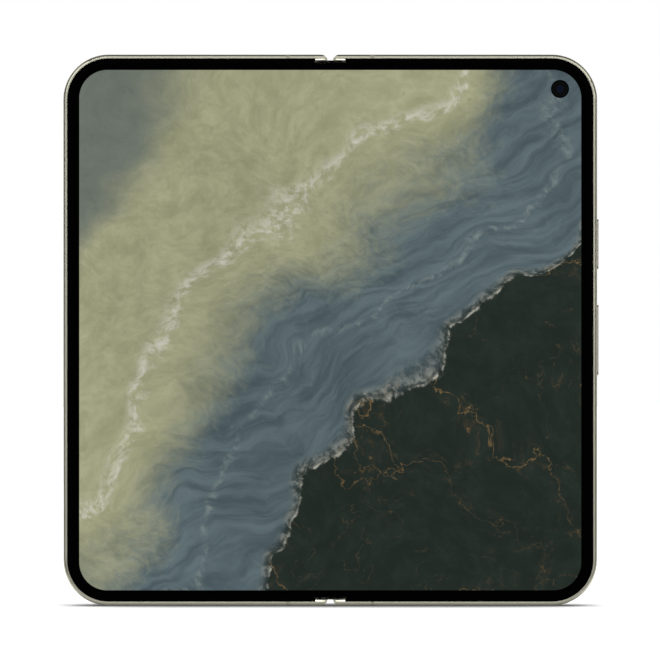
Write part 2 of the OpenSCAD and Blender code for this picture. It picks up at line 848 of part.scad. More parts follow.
module camera_island() {
    color(metal) stand() difference() {
        union() {
            translate([island_x, island_y, 0]) around(island_width, island_height, island_corner)
                island_section();
            translate([island_x, island_y, island_z])
                linear_extrude(bay_floor - island_z) rounded(neck_width, neck_height, neck_corner);
        }
        for (y = [lower_camera, upper_camera]) {
            translate([0, 0, window_z - past])
                pill(y, window_length + 2 * camera_gap, window_width + 2 * camera_gap);
        }
        translate([right_camera, upper_camera, island_z])
            cylinder(r = wide_r + camera_gap, h = past);
        translate([left_camera, upper_camera, island_z])
            cylinder(r = ultrawide_r + camera_gap, h = past);
        translate([left_camera, lower_camera, island_z])
            cylinder(r = telephoto_r + camera_gap, h = past);
        translate([right_camera, lower_camera, island_z])
            cylinder(r = flash_r + camera_gap, h = past);
    }
}

module camera_windows() {
    color(black) stand() intersection() {
        translate([0, 0, -past]) for (y = [lower_camera, upper_camera]) {
            pill(y, window_length, window_width);
        }
        box([0, 0, island_z], [half_width, body_height, window_z]);
    }
}

// Bulging front lens of the radius r, set on the floor of its well
module lens(r, floor) {
    ball_r = (r * r + lens_bulge * lens_bulge) / (2 * lens_bulge);
    intersection() {
        translate([0, 0, floor - lens_bulge + ball_r]) sphere(r = ball_r);
        translate([0, 0, floor - lens_bulge]) cylinder(r = r, h = 2 * lens_bulge);
    }
}

// Rear camera: barrel with a stepped front ring and a well, on a square housing in the bay
module rear_camera(x, y, barrel_r) {
    front = window_z + camera_gap;
    housing = 2 * (barrel_r + housing_over);
    top_r = barrel_r - ring_step;
    translate([x, y, 0]) {
        difference() {
            union() {
                translate([0, 0, front]) cylinder(r = top_r, h = 2 * ring_step);
                translate([0, 0, front + ring_step]) cylinder(r = barrel_r, h = bay_floor - front);
            }
            for (step = [1 : well_steps]) {
                translate([0, 0, front - 1])
                    cylinder(r = top_r - step * well_inset, h = 1 + step * well_drop);
            }
        }
        lens(top_r - well_steps * well_inset - camera_gap, front + well_steps * well_drop);
        translate([0, 0, bay_floor + fit_gap]) linear_extrude(inside_top - bay_floor - fit_gap)
            rounded(housing, housing, housing_over);
    }
}

module wide_camera() {
    color(black) stand() rear_camera(right_camera, upper_camera, wide_r);
}

module ultrawide_camera() {
    color(black) stand() rear_camera(left_camera, upper_camera, ultrawide_r);
}

module telephoto_camera() {
    color(black) stand() rear_camera(left_camera, lower_camera, telephoto_r);
}

module flash_led() {
    color("white") stand() translate([right_camera, lower_camera, window_z + camera_gap])
        cylinder(r = flash_r, h = bay_floor - window_z);
}

// Flat cell from the height low up to the boards, with its rear face at the level z
module battery(low, z) {
    translate([inside_x + inside_width / 2, (low + battery_top) / 2, z])
        linear_extrude(inside_top - z) rounded(inside_width, battery_top - low, battery_corner);
}

module main_battery() {
    color(black) stand() battery(battery_from_bottom, bay_floor + coil_thickness + 2 * fit_gap);
}

// Main board: a column beside the cameras and a foot below them
module logic_board() {
    color(board_green) stand() {
        translate([0, 0, board_z]) linear_extrude(board_thickness) difference() {
            union() {
                translate([inside_x, board_y]) square([column_end - inside_x, board_top_y - board_y]);
                translate([inside_x, board_y]) square([inside_width, foot_top - board_y]);
            }
            for (y = [board_y + board_hole_inset, board_top_y - board_hole_inset]) {
                translate([inside_x + board_hole_inset, y]) circle(board_hole_r);
            }
        }
    }
}

// Rounded box between two corners given in x and y
module can(low, high) {
    translate((low + high) / 2) rounded(high[0] - low[0], high[1] - low[1], can_corner);
}

// Three cans: two share the column, one lies on the foot
module shield_cans() {
    left = inside_x + can_margin;
    middle = (foot_top + board_top_y) / 2;
    color(steel) stand() translate([0, 0, board_z - can_height]) linear_extrude(can_height) {
        can([left, middle + can_margin / 2], [column_end - can_margin, board_top_y - can_margin]);
        can([left, board_y + can_margin], [column_end - can_margin, middle - can_margin / 2]);
        can([column_end, board_y + can_margin],
            [inside_x + inside_width - can_margin, foot_top - can_margin / 2]);
    }
}

// Flat coil for charging without a cable, between rear glass and battery
module charging_coil() {
    turns = 6;
    pitch = (coil_r - coil_bore_r) / turns;
    color(copper) stand() translate([inside_x + inside_width / 2,
        (battery_from_bottom + battery_top) / 2, bay_floor + fit_gap])
        rotate_extrude() for (turn = [0 : turns - 1]) {
            translate([coil_bore_r + turn * pitch, 0]) square([pitch * 0.8, coil_thickness]);
            translate([coil_bore_r + turn * pitch, 0]) square([pitch, coil_thickness / 2]);
        }
}

// Charging socket: shell with round ends, back wall and contact tongue
module usb_port() {
    start = edge_round / 2;
    color(steel) stand() {
        difference() {
            along_y(start, start + socket_depth) translate([socket_x, bay_mid])
                stadium(socket_width + 2 * socket_wall, socket_height + 2 * socket_wall);
            along_y(-1, start + socket_depth - socket_wall) translate([socket_x, bay_mid])
                stadium(socket_width, socket_height);
        }
        along_y(start + 0.9, start + socket_depth - socket_wall) translate([socket_x, bay_mid])
            square([tongue_width, tongue_thickness], center = true);
    }
}

module bottom_speaker() {
    color(black) stand() along_y(frame_wall + fit_gap, frame_wall + speaker_depth)
        translate([speaker_mid, bay_mid])
            rounded(2 * speaker_half, inside_top - bay_floor - fit_gap, box_corner);
}

module vibration_motor() {
    color(steel) stand() along_y(frame_wall + fit_gap, frame_wall + motor_depth)
        translate([motor_x - motor_width / 2, bay_mid])
            rounded(motor_width, inside_top - bay_floor - fit_gap, box_corner);
}

// Buttons: rounded along their length, with round ends and an inner flange
module edge_button(y, length) {
    front = half_width + button_proud;
    flange_most = bay_top - bay_floor - 0.3;
    color(bright_metal) stand() {
        intersection() {
            along_x(flange_x, front) translate([y, bay_mid]) stadium(length, button_width);
            along_y(y - length, y + length) {
                translate([flange_x, bay_mid - button_width])
                    square([front - button_round - flange_x, 2 * button_width]);
                translate([flange_x, bay_mid - button_width / 2 + button_round])
                    square([front - flange_x, button_width - 2 * button_round]);
                for (side = [-1, 1]) {
                    translate([front - button_round, bay_mid + side * (button_width / 2 - button_round)])
                        circle(button_round);
                }
            }
        }
        along_x(flange_x, flange_x + flange_thickness) translate([y, bay_mid]) difference() {
            rounded(length + 2 * flange_over, min(button_width + 2 * flange_over, flange_most), 0.3);
            square([length / 2, 0.6], center = true);
        }
    }
}

module power_button() {
    edge_button(power_y, power_length);
}

module volume_rocker() {
    edge_button(volume_y, volume_length);
}

// One switch behind the power button and two behind the rocker
module button_switches() {
    spread = volume_length / 3;
    color(steel) stand() for (y = [power_y, volume_y - spread, volume_y + spread]) {
        along_x(switch_x - switch_depth, switch_x - switch_dome) translate([y, bay_mid])
            rounded(switch_length, switch_width, box_corner);
        along_x(switch_x - switch_depth, switch_x) translate([y, bay_mid]) circle(switch_dome_r);
    }
}

// Magnets that hold the halves shut
module closing_magnets() {
    for (y = magnet_y) {
        box([magnet_x, y, bay_mid - magnet_thickness / 2],
            [magnet_x + magnet_width, y + magnet_length, bay_mid + magnet_thickness / 2]);
    }
}

module closing_magnets_main() {
    color(steel) stand() closing_magnets();
}

module closing_magnets_cover() {
    color(steel) stand() on_left() closing_magnets();
}

// Cylinder about the right hinge axis
module about_axis(r, low, high) {
    translate([axis_x, low, axis_z]) rotate([-90, 0, 0]) cylinder(r = r, h = high - low);
}

// Hinge arms: knuckle on the shaft, strap over the spine's edge, plate screwed to the frame
module hinge_arms() {
    both_ends() difference() {
        union() {
            about_axis(eye_r, knuckle_y, knuckle_y + knuckle_width);
            box([axis_x, knuckle_y, arm_z], [front_of_recess + 1, knuckle_y + knuckle_width, arm_top]);
            box([front_of_recess + stack_gap, knuckle_y, arm_z],
                [arm_reach, knuckle_y + arm_plate_width, arm_top]);
        }
        about_axis(shaft_r + seat_play, knuckle_y - 1, knuckle_y + knuckle_width + 1);
        for (y = arm_screw_y) {
            translate([arm_screw_x, y, arm_z - 1]) cylinder(r = screw_r + seat_play, h = arm_thickness + 2);
            translate([arm_screw_x, y, arm_top - screw_head_t])
                cylinder(r = screw_head_r + seat_play, h = screw_head_t + 1);
        }
    }
}

module arm_screws() {
    both_ends() for (y = arm_screw_y) {
        translate([arm_screw_x, y, arm_top - arm_screw_length])
            cylinder(r = screw_r, h = arm_screw_length);
        translate([arm_screw_x, y, arm_top - screw_head_t]) difference() {
            cylinder(r = screw_head_r, h = screw_head_t);
            translate([0, 0, screw_head_t / 2]) cylinder(r = screw_r / 2, h = 1, $fn = 6);
        }
    }
}

// Spur gear about the origin, one tooth centred on the angle phase
module gear_outline(phase) {
    root_r = pitch_r - tooth_root;
    tip_r = pitch_r + tooth_top;
    foot = tooth_angle * (tooth_fill + 0.16) / 2;
    flank = tooth_angle * tooth_fill / 2;
    tip = tooth_angle * (tooth_fill - 0.16) / 2;
    polygon([for (tooth = [0 : gear_teeth - 1])
        for (corner = [[root_r, -foot], [pitch_r, -flank], [tip_r, -tip], [tip_r, tip],
            [pitch_r, flank], [root_r, foot]])
            corner[0] * [cos(phase + tooth * tooth_angle + corner[1]),
                sin(phase + tooth * tooth_angle + corner[1])]
    ]);
}

// Gears lie across the hinge, so their outline is drawn in x and z
module gear(x, phase) {
    along_y(gear_y, gear_y + gear_width) translate([x, axis_z]) gear_outline(phase);
}

// Hinge shafts: each turns with its half and carries the pinion of that half
module pinion_shafts(phase) {
    both_ends() {
        about_axis(shaft_r, 0, hinge_length);
        gear(axis_x, phase);
    }
}

module friction_washers() {
    bore_r = shaft_r + seat_play;
    both_ends() for (washer = [0 : washer_count - 1]) {
        flip = washer % 2;
        translate([axis_x, washer_y + side_play / 2 + (washer + flip) * washer_pitch, axis_z])
            rotate([-90, 0, 0]) mirror([0, 0, flip]) rotate_extrude()
                polygon([[bore_r, 0], [washer_r, washer_cone], [washer_r, washer_pitch],
                    [bore_r, washer_thickness]]);
    }
}

module hinge_arms_main() {
    color(steel) stand() hinge_arms();
}

module hinge_arms_cover() {
    color(steel) stand() on_left() hinge_arms();
}

module pinion_shafts_main() {
    color(steel) stand() pinion_shafts(0);
}

module pinion_shafts_cover() {
    color(steel) stand() on_left() pinion_shafts(tooth_angle / 2);
}

module friction_washers_main() {
    color(steel) stand() friction_washers();
}

module friction_washers_cover() {
    color(steel) stand() on_left() friction_washers();
}

module arm_screws_main() {
    color(brass) stand() arm_screws();
}

module arm_screws_cover() {
    color(brass) stand() on_left() arm_screws();
}

// Section of the spine: a bar with round ends about the two hinge axes
module spine_section(r) {
    translate([0, axis_z]) stadium(2 * axis_x + 2 * r, 2 * r);
}

// Spine cover: trough with end walls, notched where arms and ribbon cables pass
module spine_cover() {
    color(metal) stand() difference() {
        along_y(spine_y, body_height - spine_y) spine_section(spine_r);
        along_y(spine_y + spine_wall, body_height - spine_y - spine_wall) spine_section(spine_inner_r);
        box([-past, 0, spine_top], [past, body_height, past]);
        both_ends() {
            box([-past, knuckle_y - 2 * side_play, axis_z],
                [past, knuckle_y + knuckle_width + 2 * side_play, rim_z]);
            for (y = base_screw_y) {
                translate([0, y, spine_floor - spine_wall / 2]) cylinder(r = screw_r + seat_play, h = 1);
            }
        }
        for (y = ribbon_y) {
            box([-past, y - ribbon_width / 2 - ribbon_gap, ribbon_z - side_play],
                [past, y + ribbon_width / 2 + ribbon_gap, rim_z]);
        }
    }
}

// One bearing plate of the hinge base with an eye on each axis
module bearing_plate(low, width) {
    for (side = [-1, 1]) {
        translate([side * axis_x, low, axis_z]) rotate([-90, 0, 0]) cylinder(r = eye_r, h = width);
    }
    box([-axis_x, low, spine_floor + spine_wall], [axis_x, low + width, axis_z + shaft_r]);
    box([-axis_x - eye_r, low, base_top - eye_r / 2], [axis_x + eye_r, low + width, axis_z]);
}

// Hinge bases: block on the spine's floor, three bearing plates and a web for the idler pins
module hinge_bases() {
    web_half = axis_x - eye_r - side_play;
    color(steel) stand() both_ends() difference() {
        union() {
            box([-base_half, 0, spine_floor], [base_half, hinge_length, base_top]);
            for (low = [0, middle_eye_y, last_eye_y]) {
                bearing_plate(low, eye_width);
            }
            box([-web_half, pin_y, base_top - 0.1], [web_half, pin_y + gear_width, axis_z + shaft_r]);
        }
        for (side = [-1, 1]) {
            translate([side * axis_x, -1, axis_z]) rotate([-90, 0, 0])
                cylinder(r = shaft_r + shaft_play, h = hinge_length + 2);
            translate([side * pitch_r, pin_y - 1, axis_z]) rotate([-90, 0, 0])
                cylinder(r = idler_pin_r + seat_play, h = middle_eye_y + eye_width - pin_y + 2);
        }
        for (y = base_screw_y) {
            translate([0, y, spine_floor - 1]) cylinder(r = screw_r + seat_play, h = body_thickness);
            translate([0, y, base_top - screw_head_t]) cylinder(r = screw_head_r + seat_play, h = 1);
        }
    }
}

module hinge_base_screws() {
    low = spine_floor - spine_wall / 2 + fit_gap;
    color(brass) stand() both_ends() for (y = base_screw_y) {
        translate([0, y, low]) cylinder(r = screw_r, h = base_top - low);
        translate([0, y, base_top - screw_head_t]) cylinder(r = screw_head_r, h = screw_head_t);
    }
}

module idler_pins() {
    color(steel) stand() both_ends() for (side = [-1, 1]) {
        translate([side * pitch_r, pin_y, axis_z]) rotate([-90, 0, 0])
            cylinder(r = idler_pin_r, h = middle_eye_y + eye_width - pin_y);
    }
}

// Idlers between the two pinions turn the halves at the same rate in opposite directions
module idler_gears(side, phase) {
    both_ends() difference() {
        gear(side * pitch_r, phase);
        translate([side * pitch_r, gear_y - 1, axis_z]) rotate([-90, 0, 0])
            cylinder(r = idler_pin_r + idler_play, h = gear_width + 2);
    }
}

module idler_gears_a() {
    color(brass) stand() idler_gears(1, tooth_angle / 2);
}

module idler_gears_b() {
    color(brass) stand() idler_gears(-1, 0);
}

// Dark end caps of the bending strip, clipped over the spine's end walls
module fold_end_caps() {
    cap_half = axis_x + finger_roll_r - front_gap;
    color(black) stand() for (low = [spine_y, body_height - spine_y - cap_depth]) {
        box([-cap_half, low, spine_top], [cap_half, low + cap_depth, bezel_z - 2 * stack_gap]);
    }
}

module display_fold() {
    color(screen) stand() box([-fold_edge, strip_y, panel_z], [fold_edge, body_height - strip_y, bezel_z]);
}

// Support layer that bends: rows of slots, each row shifted by half a slot
module fold_lattice() {
    strip_length = body_height - 2 * strip_y;
    count = floor(strip_length / lattice_pitch) - 1;
    color(steel) stand() translate([0, 0, deck_z]) linear_extrude(plate_thickness) difference() {
        translate([-fold_edge, strip_y]) square([2 * fold_edge, strip_length]);
        for (row = [0 : 3]) {
            for (step = [0 : count - 1]) {
                shift = 0.75 + row % 2 / 2;
                translate([lattice_row_pitch * (row - 1.5), strip_y + lattice_pitch * (step + shift)])
                    rotate(90) stadium(lattice_slot, lattice_slot_width);
            }
        }
    }
}

// Ribbon cables from one half to the other, through the beams and over the spine
module hinge_flex() {
    reach = inside_x - ribbon_gap;
    color(copper) stand() for (y = ribbon_y) {
        box([-reach, y - ribbon_width / 2, ribbon_z],
            [reach, y + ribbon_width / 2, ribbon_z + ribbon_thickness]);
    }
}

// Outer screen under the left half's glass, with an opening for its camera
module cover_display() {
    inset = frame_wall + outer_panel_gap;
    color(black) stand() on_left() difference() {
        half_layer(beam_reach + outer_panel_gap, inset, bay_floor, outer_panel_z);
        translate([cover_mid_x, cover_camera_y, bay_floor - 1])
            cylinder(r = cover_camera_r + fit_gap, h = 3);
        both_ends() box([beam_reach, knuckle_y - outer_panel_gap, bay_floor - 1],
            [shelf_x + outer_panel_gap, knuckle_y + arm_plate_width + outer_panel_gap, bay_top]);
    }
}

module cover_camera() {
    color(black) stand() on_left() translate([cover_mid_x, cover_camera_y, 0]) {
        translate([0, 0, bay_floor + fit_gap])
            cylinder(r = cover_camera_r, h = inside_top - bay_floor - fit_gap);
        translate([0, 0, cover_floor])
            cylinder(r = cover_camera_r + flange_over, h = inside_top - cover_floor);
    }
}

module earpiece() {
    top = body_height - frame_wall - fit_gap;
    color(black) stand() on_left() along_y(top - earpiece_depth, top)
        translate([cover_mid_x, (cover_floor + inside_top) / 2])
            rounded(earpiece_length + 2 * earpiece_over, inside_top - cover_floor, box_corner);
}

module second_battery() {
    color(black) stand() on_left() battery(second_battery_y, cover_floor);
}

module sub_board() {
    top = cover_camera_y - cover_camera_r - can_margin;
    color(board_green) stand() on_left() {
        translate([0, 0, board_z]) linear_extrude(board_thickness) difference() {
            translate([inside_x, board_y]) square([inside_width, top - board_y]);
            translate([inside_x + inside_width - board_notch[0], top - board_notch[1]]) square(board_notch);
            for (x = [inside_x + board_hole_inset, inside_x + inside_width - board_hole_inset]) {
                translate([x, board_y + board_hole_inset]) circle(board_hole_r);
            }
        }
        translate([inside_x, top - fit_gap, board_z])
            cube([board_notch[0], board_top_y - top, board_thickness]);
        translate([inside_x + can_margin, board_y + 2 * can_margin, board_z - can_height])
            cube([inside_width / 2 - 2 * can_margin, board_notch[1], can_height]);
    }
}

// Card tray: face flush with the edge, open frame for the card behind it
module sim_tray() {
    card_x = tray_x + tray_bar;
    color(bright_metal) stand() on_left() {
        along_x(wall_x, half_width) translate([tray_y, bay_mid]) difference() {
            stadium(tray_face_length, tray_face_width);
            translate([tray_face_length / 2 - tray_face_width / 2, 0]) circle(release_r);
        }
        difference() {
            box([tray_x, tray_y - tray_width / 2, bay_mid - tray_thickness / 2],
                [wall_x + 0.1, tray_y + tray_width / 2, bay_mid + tray_thickness / 2]);
            box([card_x, tray_y - card_width / 2, bay_mid - tray_thickness / 4],
                [card_x + card_length, tray_y + card_width / 2, bay_mid + tray_thickness]);
            box([card_x + card_ledge, tray_y - card_width / 2 + card_ledge, bay_mid - tray_thickness],
                [card_x + card_length - card_ledge, tray_y + card_width / 2 - card_ledge, bay_mid]);
        }
    }
}

// Reader that guides the tray: a flat sleeve open towards the edge
module sim_reader() {
    outer = [tray_width / 2 + tray_play + reader_wall, tray_thickness / 2 + tray_play + reader_wall];
    inner = [tray_width / 2 + tray_play, tray_thickness / 2 + tray_play];
    color(steel) stand() on_left() difference() {
        box([tray_x - tray_end_gap - reader_wall, tray_y - outer[0], bay_mid - outer[1]],
            [wall_x - fit_gap, tray_y + outer[0], bay_mid + outer[1]]);
        box([tray_x - tray_end_gap, tray_y - inner[0], bay_mid - inner[1]],
            [half_width, tray_y + inner[0], bay_mid + inner[1]]);
    }
}

main_frame();
antenna_breaks_main();
inner_bezel_main();
inner_display_main();
display_plate_main();
inner_camera();
back_glass();
camera_island();
camera_windows();
wide_camera();
ultrawide_camera();
telephoto_camera();
flash_led();
main_battery();
logic_board();
shield_cans();
charging_coil();
usb_port();
bottom_speaker();
vibration_motor();
button_switches();
closing_magnets_main();
hinge_arms_main();
pinion_shafts_main();
friction_washers_main();
arm_screws_main();
spine_cover();
hinge_bases();
hinge_base_screws();
idler_pins();
fold_end_caps();
display_fold();
fold_lattice();
hinge_flex();
idler_gears_a();
idler_gears_b();
cover_frame();
antenna_breaks_cover();
inner_bezel_cover();
inner_display_cover();
display_plate_cover();
cover_glass();
cover_display();
cover_camera();
earpiece();
second_battery();
sub_board();
sim_reader();
closing_magnets_cover();
hinge_arms_cover();
pinion_shafts_cover();
friction_washers_cover();
arm_screws_cover();
power_button();
volume_rocker();
sim_tray();
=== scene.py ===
"""Looks of the folding phone: finishes, small parts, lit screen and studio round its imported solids."""

import json
import logging
import math
from dataclasses import dataclass, field
from enum import Enum
from typing import Callable, Dict, List, Optional, Sequence, Tuple, Union

import bmesh
import bpy
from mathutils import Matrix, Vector

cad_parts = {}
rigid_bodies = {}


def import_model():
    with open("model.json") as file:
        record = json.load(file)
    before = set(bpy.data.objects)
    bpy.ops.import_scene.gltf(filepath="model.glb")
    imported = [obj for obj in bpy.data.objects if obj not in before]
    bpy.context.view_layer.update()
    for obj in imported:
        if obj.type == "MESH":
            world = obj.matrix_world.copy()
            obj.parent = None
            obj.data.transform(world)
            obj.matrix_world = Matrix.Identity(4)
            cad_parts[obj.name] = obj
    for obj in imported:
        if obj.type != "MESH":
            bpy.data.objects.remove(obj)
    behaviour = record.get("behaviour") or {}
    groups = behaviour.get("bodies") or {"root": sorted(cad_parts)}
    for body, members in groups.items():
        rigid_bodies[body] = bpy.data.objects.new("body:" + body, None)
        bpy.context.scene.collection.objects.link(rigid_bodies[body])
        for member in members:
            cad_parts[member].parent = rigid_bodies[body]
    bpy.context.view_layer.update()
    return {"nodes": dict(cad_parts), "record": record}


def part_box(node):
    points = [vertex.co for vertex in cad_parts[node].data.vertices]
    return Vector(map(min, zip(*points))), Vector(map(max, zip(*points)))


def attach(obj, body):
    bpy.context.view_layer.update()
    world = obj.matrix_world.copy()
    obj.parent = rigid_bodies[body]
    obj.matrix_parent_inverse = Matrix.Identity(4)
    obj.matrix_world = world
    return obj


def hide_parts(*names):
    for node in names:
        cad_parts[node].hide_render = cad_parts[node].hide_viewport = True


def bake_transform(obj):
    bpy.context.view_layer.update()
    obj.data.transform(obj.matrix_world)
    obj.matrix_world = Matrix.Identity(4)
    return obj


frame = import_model()
log = logging.getLogger("phone")

MM = 0.001
WELD = 0.5e-6
SHARP = math.radians(35)
Number = Union[float, "Field"]
Colour = Tuple[float, float, float]
Point = Tuple[float, float, float]
Socket = bpy.types.NodeSocket
Material = bpy.types.Material
Mesh = bpy.types.Mesh
Place = Optional[Socket]
Edit = Callable[[bmesh.types.BMesh], None]


def tone(*channels: float) -> Colour:
    """Turns a colour from a screen's scale of 0 to 255 into linear light."""
    shares = [channel / 255 for channel in channels]
    return tuple(
        share / 12.92 if share <= 0.04045 else ((share + 0.055) / 1.055) ** 2.4 for share in shares
    )


def shaded(colour: Colour, factor: float) -> Colour:
    """Scales the light of a colour."""
    return tuple(channel * factor for channel in colour)


class Axis(Enum):
    """Axis that ground lines run along."""

    X = 0
    Y = 1
    Z = 2


class Source(Enum):
    """Where a pattern takes its place on a piece from."""

    OBJECT = "object"
    PICTURE_MAP = "picture"


def operator(operation: str, reflected: bool = False) -> Callable[["Field", Number], "Field"]:
    """Makes a method of Field that adds a Math node; reflected swaps its operands."""

    def method(self: "Field", other: Number) -> "Field":
        """Adds the node."""
        return self.tree.maths(operation, *((other, self) if reflected else (self, other)))

    return method


class Field:
    """A number that varies over a surface: one node socket with arithmetic.

    over gives the larger of two values, and under the smaller.
    """

    __add__ = operator("ADD")
    __radd__ = operator("ADD", True)
    __sub__ = operator("SUBTRACT")
    __rsub__ = operator("SUBTRACT", True)
    __mul__ = operator("MULTIPLY")
    __rmul__ = operator("MULTIPLY", True)
    __truediv__ = operator("DIVIDE")
    __pow__ = operator("POWER")
    over = operator("MAXIMUM")
    under = operator("MINIMUM")

    def __init__(self, tree: "Tree", socket: Socket) -> None:
        """Wraps an output socket of a tree."""
        self.tree = tree
        self.socket = socket

    def __abs__(self) -> "Field":
        """Size without sign."""
        return self.tree.maths("ABSOLUTE", self)

    def rise(self, start: Number, end: Number) -> "Field":
        """Smooth step from 0 at one value to 1 at another."""
        made = self.tree.node(
            "ShaderNodeMapRange",
            {"interpolation_type": "SMOOTHSTEP", "clamp": True},
            {"Value": self, "From Min": start, "From Max": end},
        )
        return Field(self.tree, made.outputs["Result"])

    def line(self, centre: Number, width: Number) -> "Field":
        """A thin line: 1 where this equals a value, falling to 0 at a width on both sides."""
        return 1 - abs(self - centre).rise(0.0, width)


Feed = Union[float, int, str, Sequence[float], Field, Socket, bpy.types.ID]


class Tree:
    """A node tree under construction, in which one method adds every node."""

    def __init__(self, tree: bpy.types.NodeTree) -> None:
        """Takes over a tree and empties it.

        Args:
            tree: The tree to build in.
        """
        self.tree = tree
        tree.nodes.clear()

    def node(
        self,
        kind: str,
        settings: Optional[Dict[str, object]] = None,
        inputs: Optional[Dict[Union[str, int], Feed]] = None,
    ) -> bpy.types.Node:
        """Adds a node.

        Args:
            kind: The node's type.
            settings: Properties of the node; "stops" are a ramp's places and colours.
            inputs: Values or links of its inputs, by name or place.

        Returns:
            The node.
        """
        made = self.tree.nodes.new(kind)
        for name, value in (settings or {}).items():
            if name == "stops":
                self.set_stops(made.color_ramp, value)
            else:
                setattr(made, name, value)
        for key, value in (inputs or {}).items():
            self.feed(made.inputs[key], value)
        return made

    def set_stops(self, ramp: bpy.types.ColorRamp, stops: Sequence[Tuple[float, Colour]]) -> None:
        """Sets the stops of a ramp.

        Args:
            ramp: The ramp.
            stops: Places and colours, from the lowest place up.
        """
        while len(ramp.elements) < len(stops):
            ramp.elements.new(1.0)
        for element, (place, colour) in zip(ramp.elements, stops):
            element.position = place
            element.color = (*colour, 1.0)

    def feed(self, socket: Socket, value: Feed) -> None:
        """Links a socket or sets its value.

        Args:
            socket: The input.
            value: A link's source or a constant.
        """
        source = getattr(value, "socket", value)
        if isinstance(source, Socket):
            self.tree.links.new(source, socket)
        elif socket.type == "RGBA" and len(value) == 3:
            socket.default_value = (*value, 1.0)
        else:
            socket.default_value = value

    def maths(self, operation: str, *values: Number) -> Field:
        """Adds a Math node and gives its result."""
        made = self.node("ShaderNodeMath", {"operation": operation}, dict(enumerate(values)))
        return Field(self, made.outputs[0])

    def split(self, place: Socket) -> Tuple[Field, Field, Field]:
        """Splits a place into its three coordinates."""
        made = self.node("ShaderNodeSeparateXYZ", None, {0: place})
        return tuple(Field(self, output) for output in made.outputs)

    def rays(self) -> Tuple[Field, Field, Field]:
        """Tells camera, glossy and transmission rays apart."""
        path = self.node("ShaderNodeLightPath").outputs
        kinds = ("Camera", "Glossy", "Transmission")
        return tuple(Field(self, path[f"Is {kind} Ray"]) for kind in kinds)


class Paint(Tree):
    """A surface material: one shader, and the patterns that feed it.

    A pattern is read at the place that it is given, or else at the material's own.
    """

    def __init__(self, name: str, source: Source = Source.OBJECT, **constants: float) -> None:
        """Starts a material.

        Args:
            name: Its name.
            source: Where its patterns take their place from.
            constants: What its shader has all over, named as in set.
        """
        self.material = bpy.data.materials.new(name)
        self.material.use_nodes = True
        super().__init__(self.material.node_tree)
        self.shader = self.node("ShaderNodeBsdfPrincipled")
        self.node("ShaderNodeOutputMaterial", None, {"Surface": self.shader.outputs[0]})
        self.set(**constants)
        if source is Source.OBJECT:
            self.place = self.node("ShaderNodeTexCoord").outputs["Object"]
        else:
            self.place = self.node("ShaderNodeUVMap", {"uv_map": source.value}).outputs["UV"]

    def set(self, **feeds: Feed) -> None:
        """Feeds sockets of the shader; an underscore in a name stands for a space."""
        for name, value in feeds.items():
            self.feed(self.shader.inputs[name.replace("_", " ")], value)

    def joined(self, x: Number, y: Number, z: Number) -> Socket:
        """Joins three numbers into one place."""
        return self.node("ShaderNodeCombineXYZ", None, {0: x, 1: y, 2: z}).outputs[0]

    def vector(self, operation: str, first: Feed, second: Feed) -> Socket:
        """Adds a Vector Math node and gives its result."""
        feeds = {0: first, "Scale" if operation == "SCALE" else 1: second}
        return self.node("ShaderNodeVectorMath", {"operation": operation}, feeds).outputs[0]

    def warped(self, scale: float, amount: float, place: Place = None, detail: float = 3) -> Socket:
        """Pushes a place about by noise.

        Args:
            scale: How fine the noise is.
            amount: How far it pushes.
            place: The place.
            detail: Octaves of the noise.

        Returns:
            The place that was pushed.
        """
        source = place or self.place
        noise = {"Vector": source, "Scale": scale, "Detail": detail}
        push = self.node("ShaderNodeTexNoise", None, noise).outputs["Color"]
        centred = self.vector("SUBTRACT", push, (0.5, 0.5, 0.5))
        return self.vector("ADD", source, self.vector("SCALE", centred, amount))

    def noise(
        self,
        scale: float,
        detail: float = 2,
        place: Place = None,
        roughness: float = 0.5,
        distortion: float = 0.0,
    ) -> Field:
        """Adds noise.

        Args:
            scale: How fine it is, in waves to a metre on a place in metres.
            detail: Octaves.
            place: Where it is read.
            roughness: Share of the finer octaves.
            distortion: How much it folds into itself.

        Returns:
            The noise, about 0 to 1.
        """
        inputs = {
            "Vector": place or self.place,
            "Scale": scale,
            "Detail": detail,
            "Roughness": roughness,
            "Distortion": distortion,
        }
        return Field(self, self.node("ShaderNodeTexNoise", None, inputs).outputs[0])

    def cells(self, scale: float, feature: str = "F1") -> Field:
        """Distance to what the feature names of cells, the scale in cells to a metre."""
        feeds = {"Vector": self.place, "Scale": scale}
        made = self.node("ShaderNodeTexVoronoi", {"feature": feature}, feeds)
        return Field(self, made.outputs["Distance"])

    def mix(self, share: Number, first: Feed, second: Feed) -> Socket:
        """Mixes two colours, from the first at a share of 0 to the second at 1."""
        made = self.node("ShaderNodeMix", {"data_type": "RGBA"}, {0: share, 6: first, 7: second})
        return made.outputs[2]

    def laid(self, ground: Feed, *layers: Tuple[Number, Feed]) -> Feed:
        """Lays colours over a ground in turn, each by its share."""
        for share, colour in layers:
            ground = self.mix(share, ground, colour)
        return ground

    def bump(self, height: Field, depth: float, strength: float) -> None:
        """Feeds the shader's normal with a relief of 0 to 1, its depth given in metres."""
        relief = {"Height": height, "Distance": depth, "Strength": strength}
        self.set(Normal=self.node("ShaderNodeBump", None, relief).outputs[0])

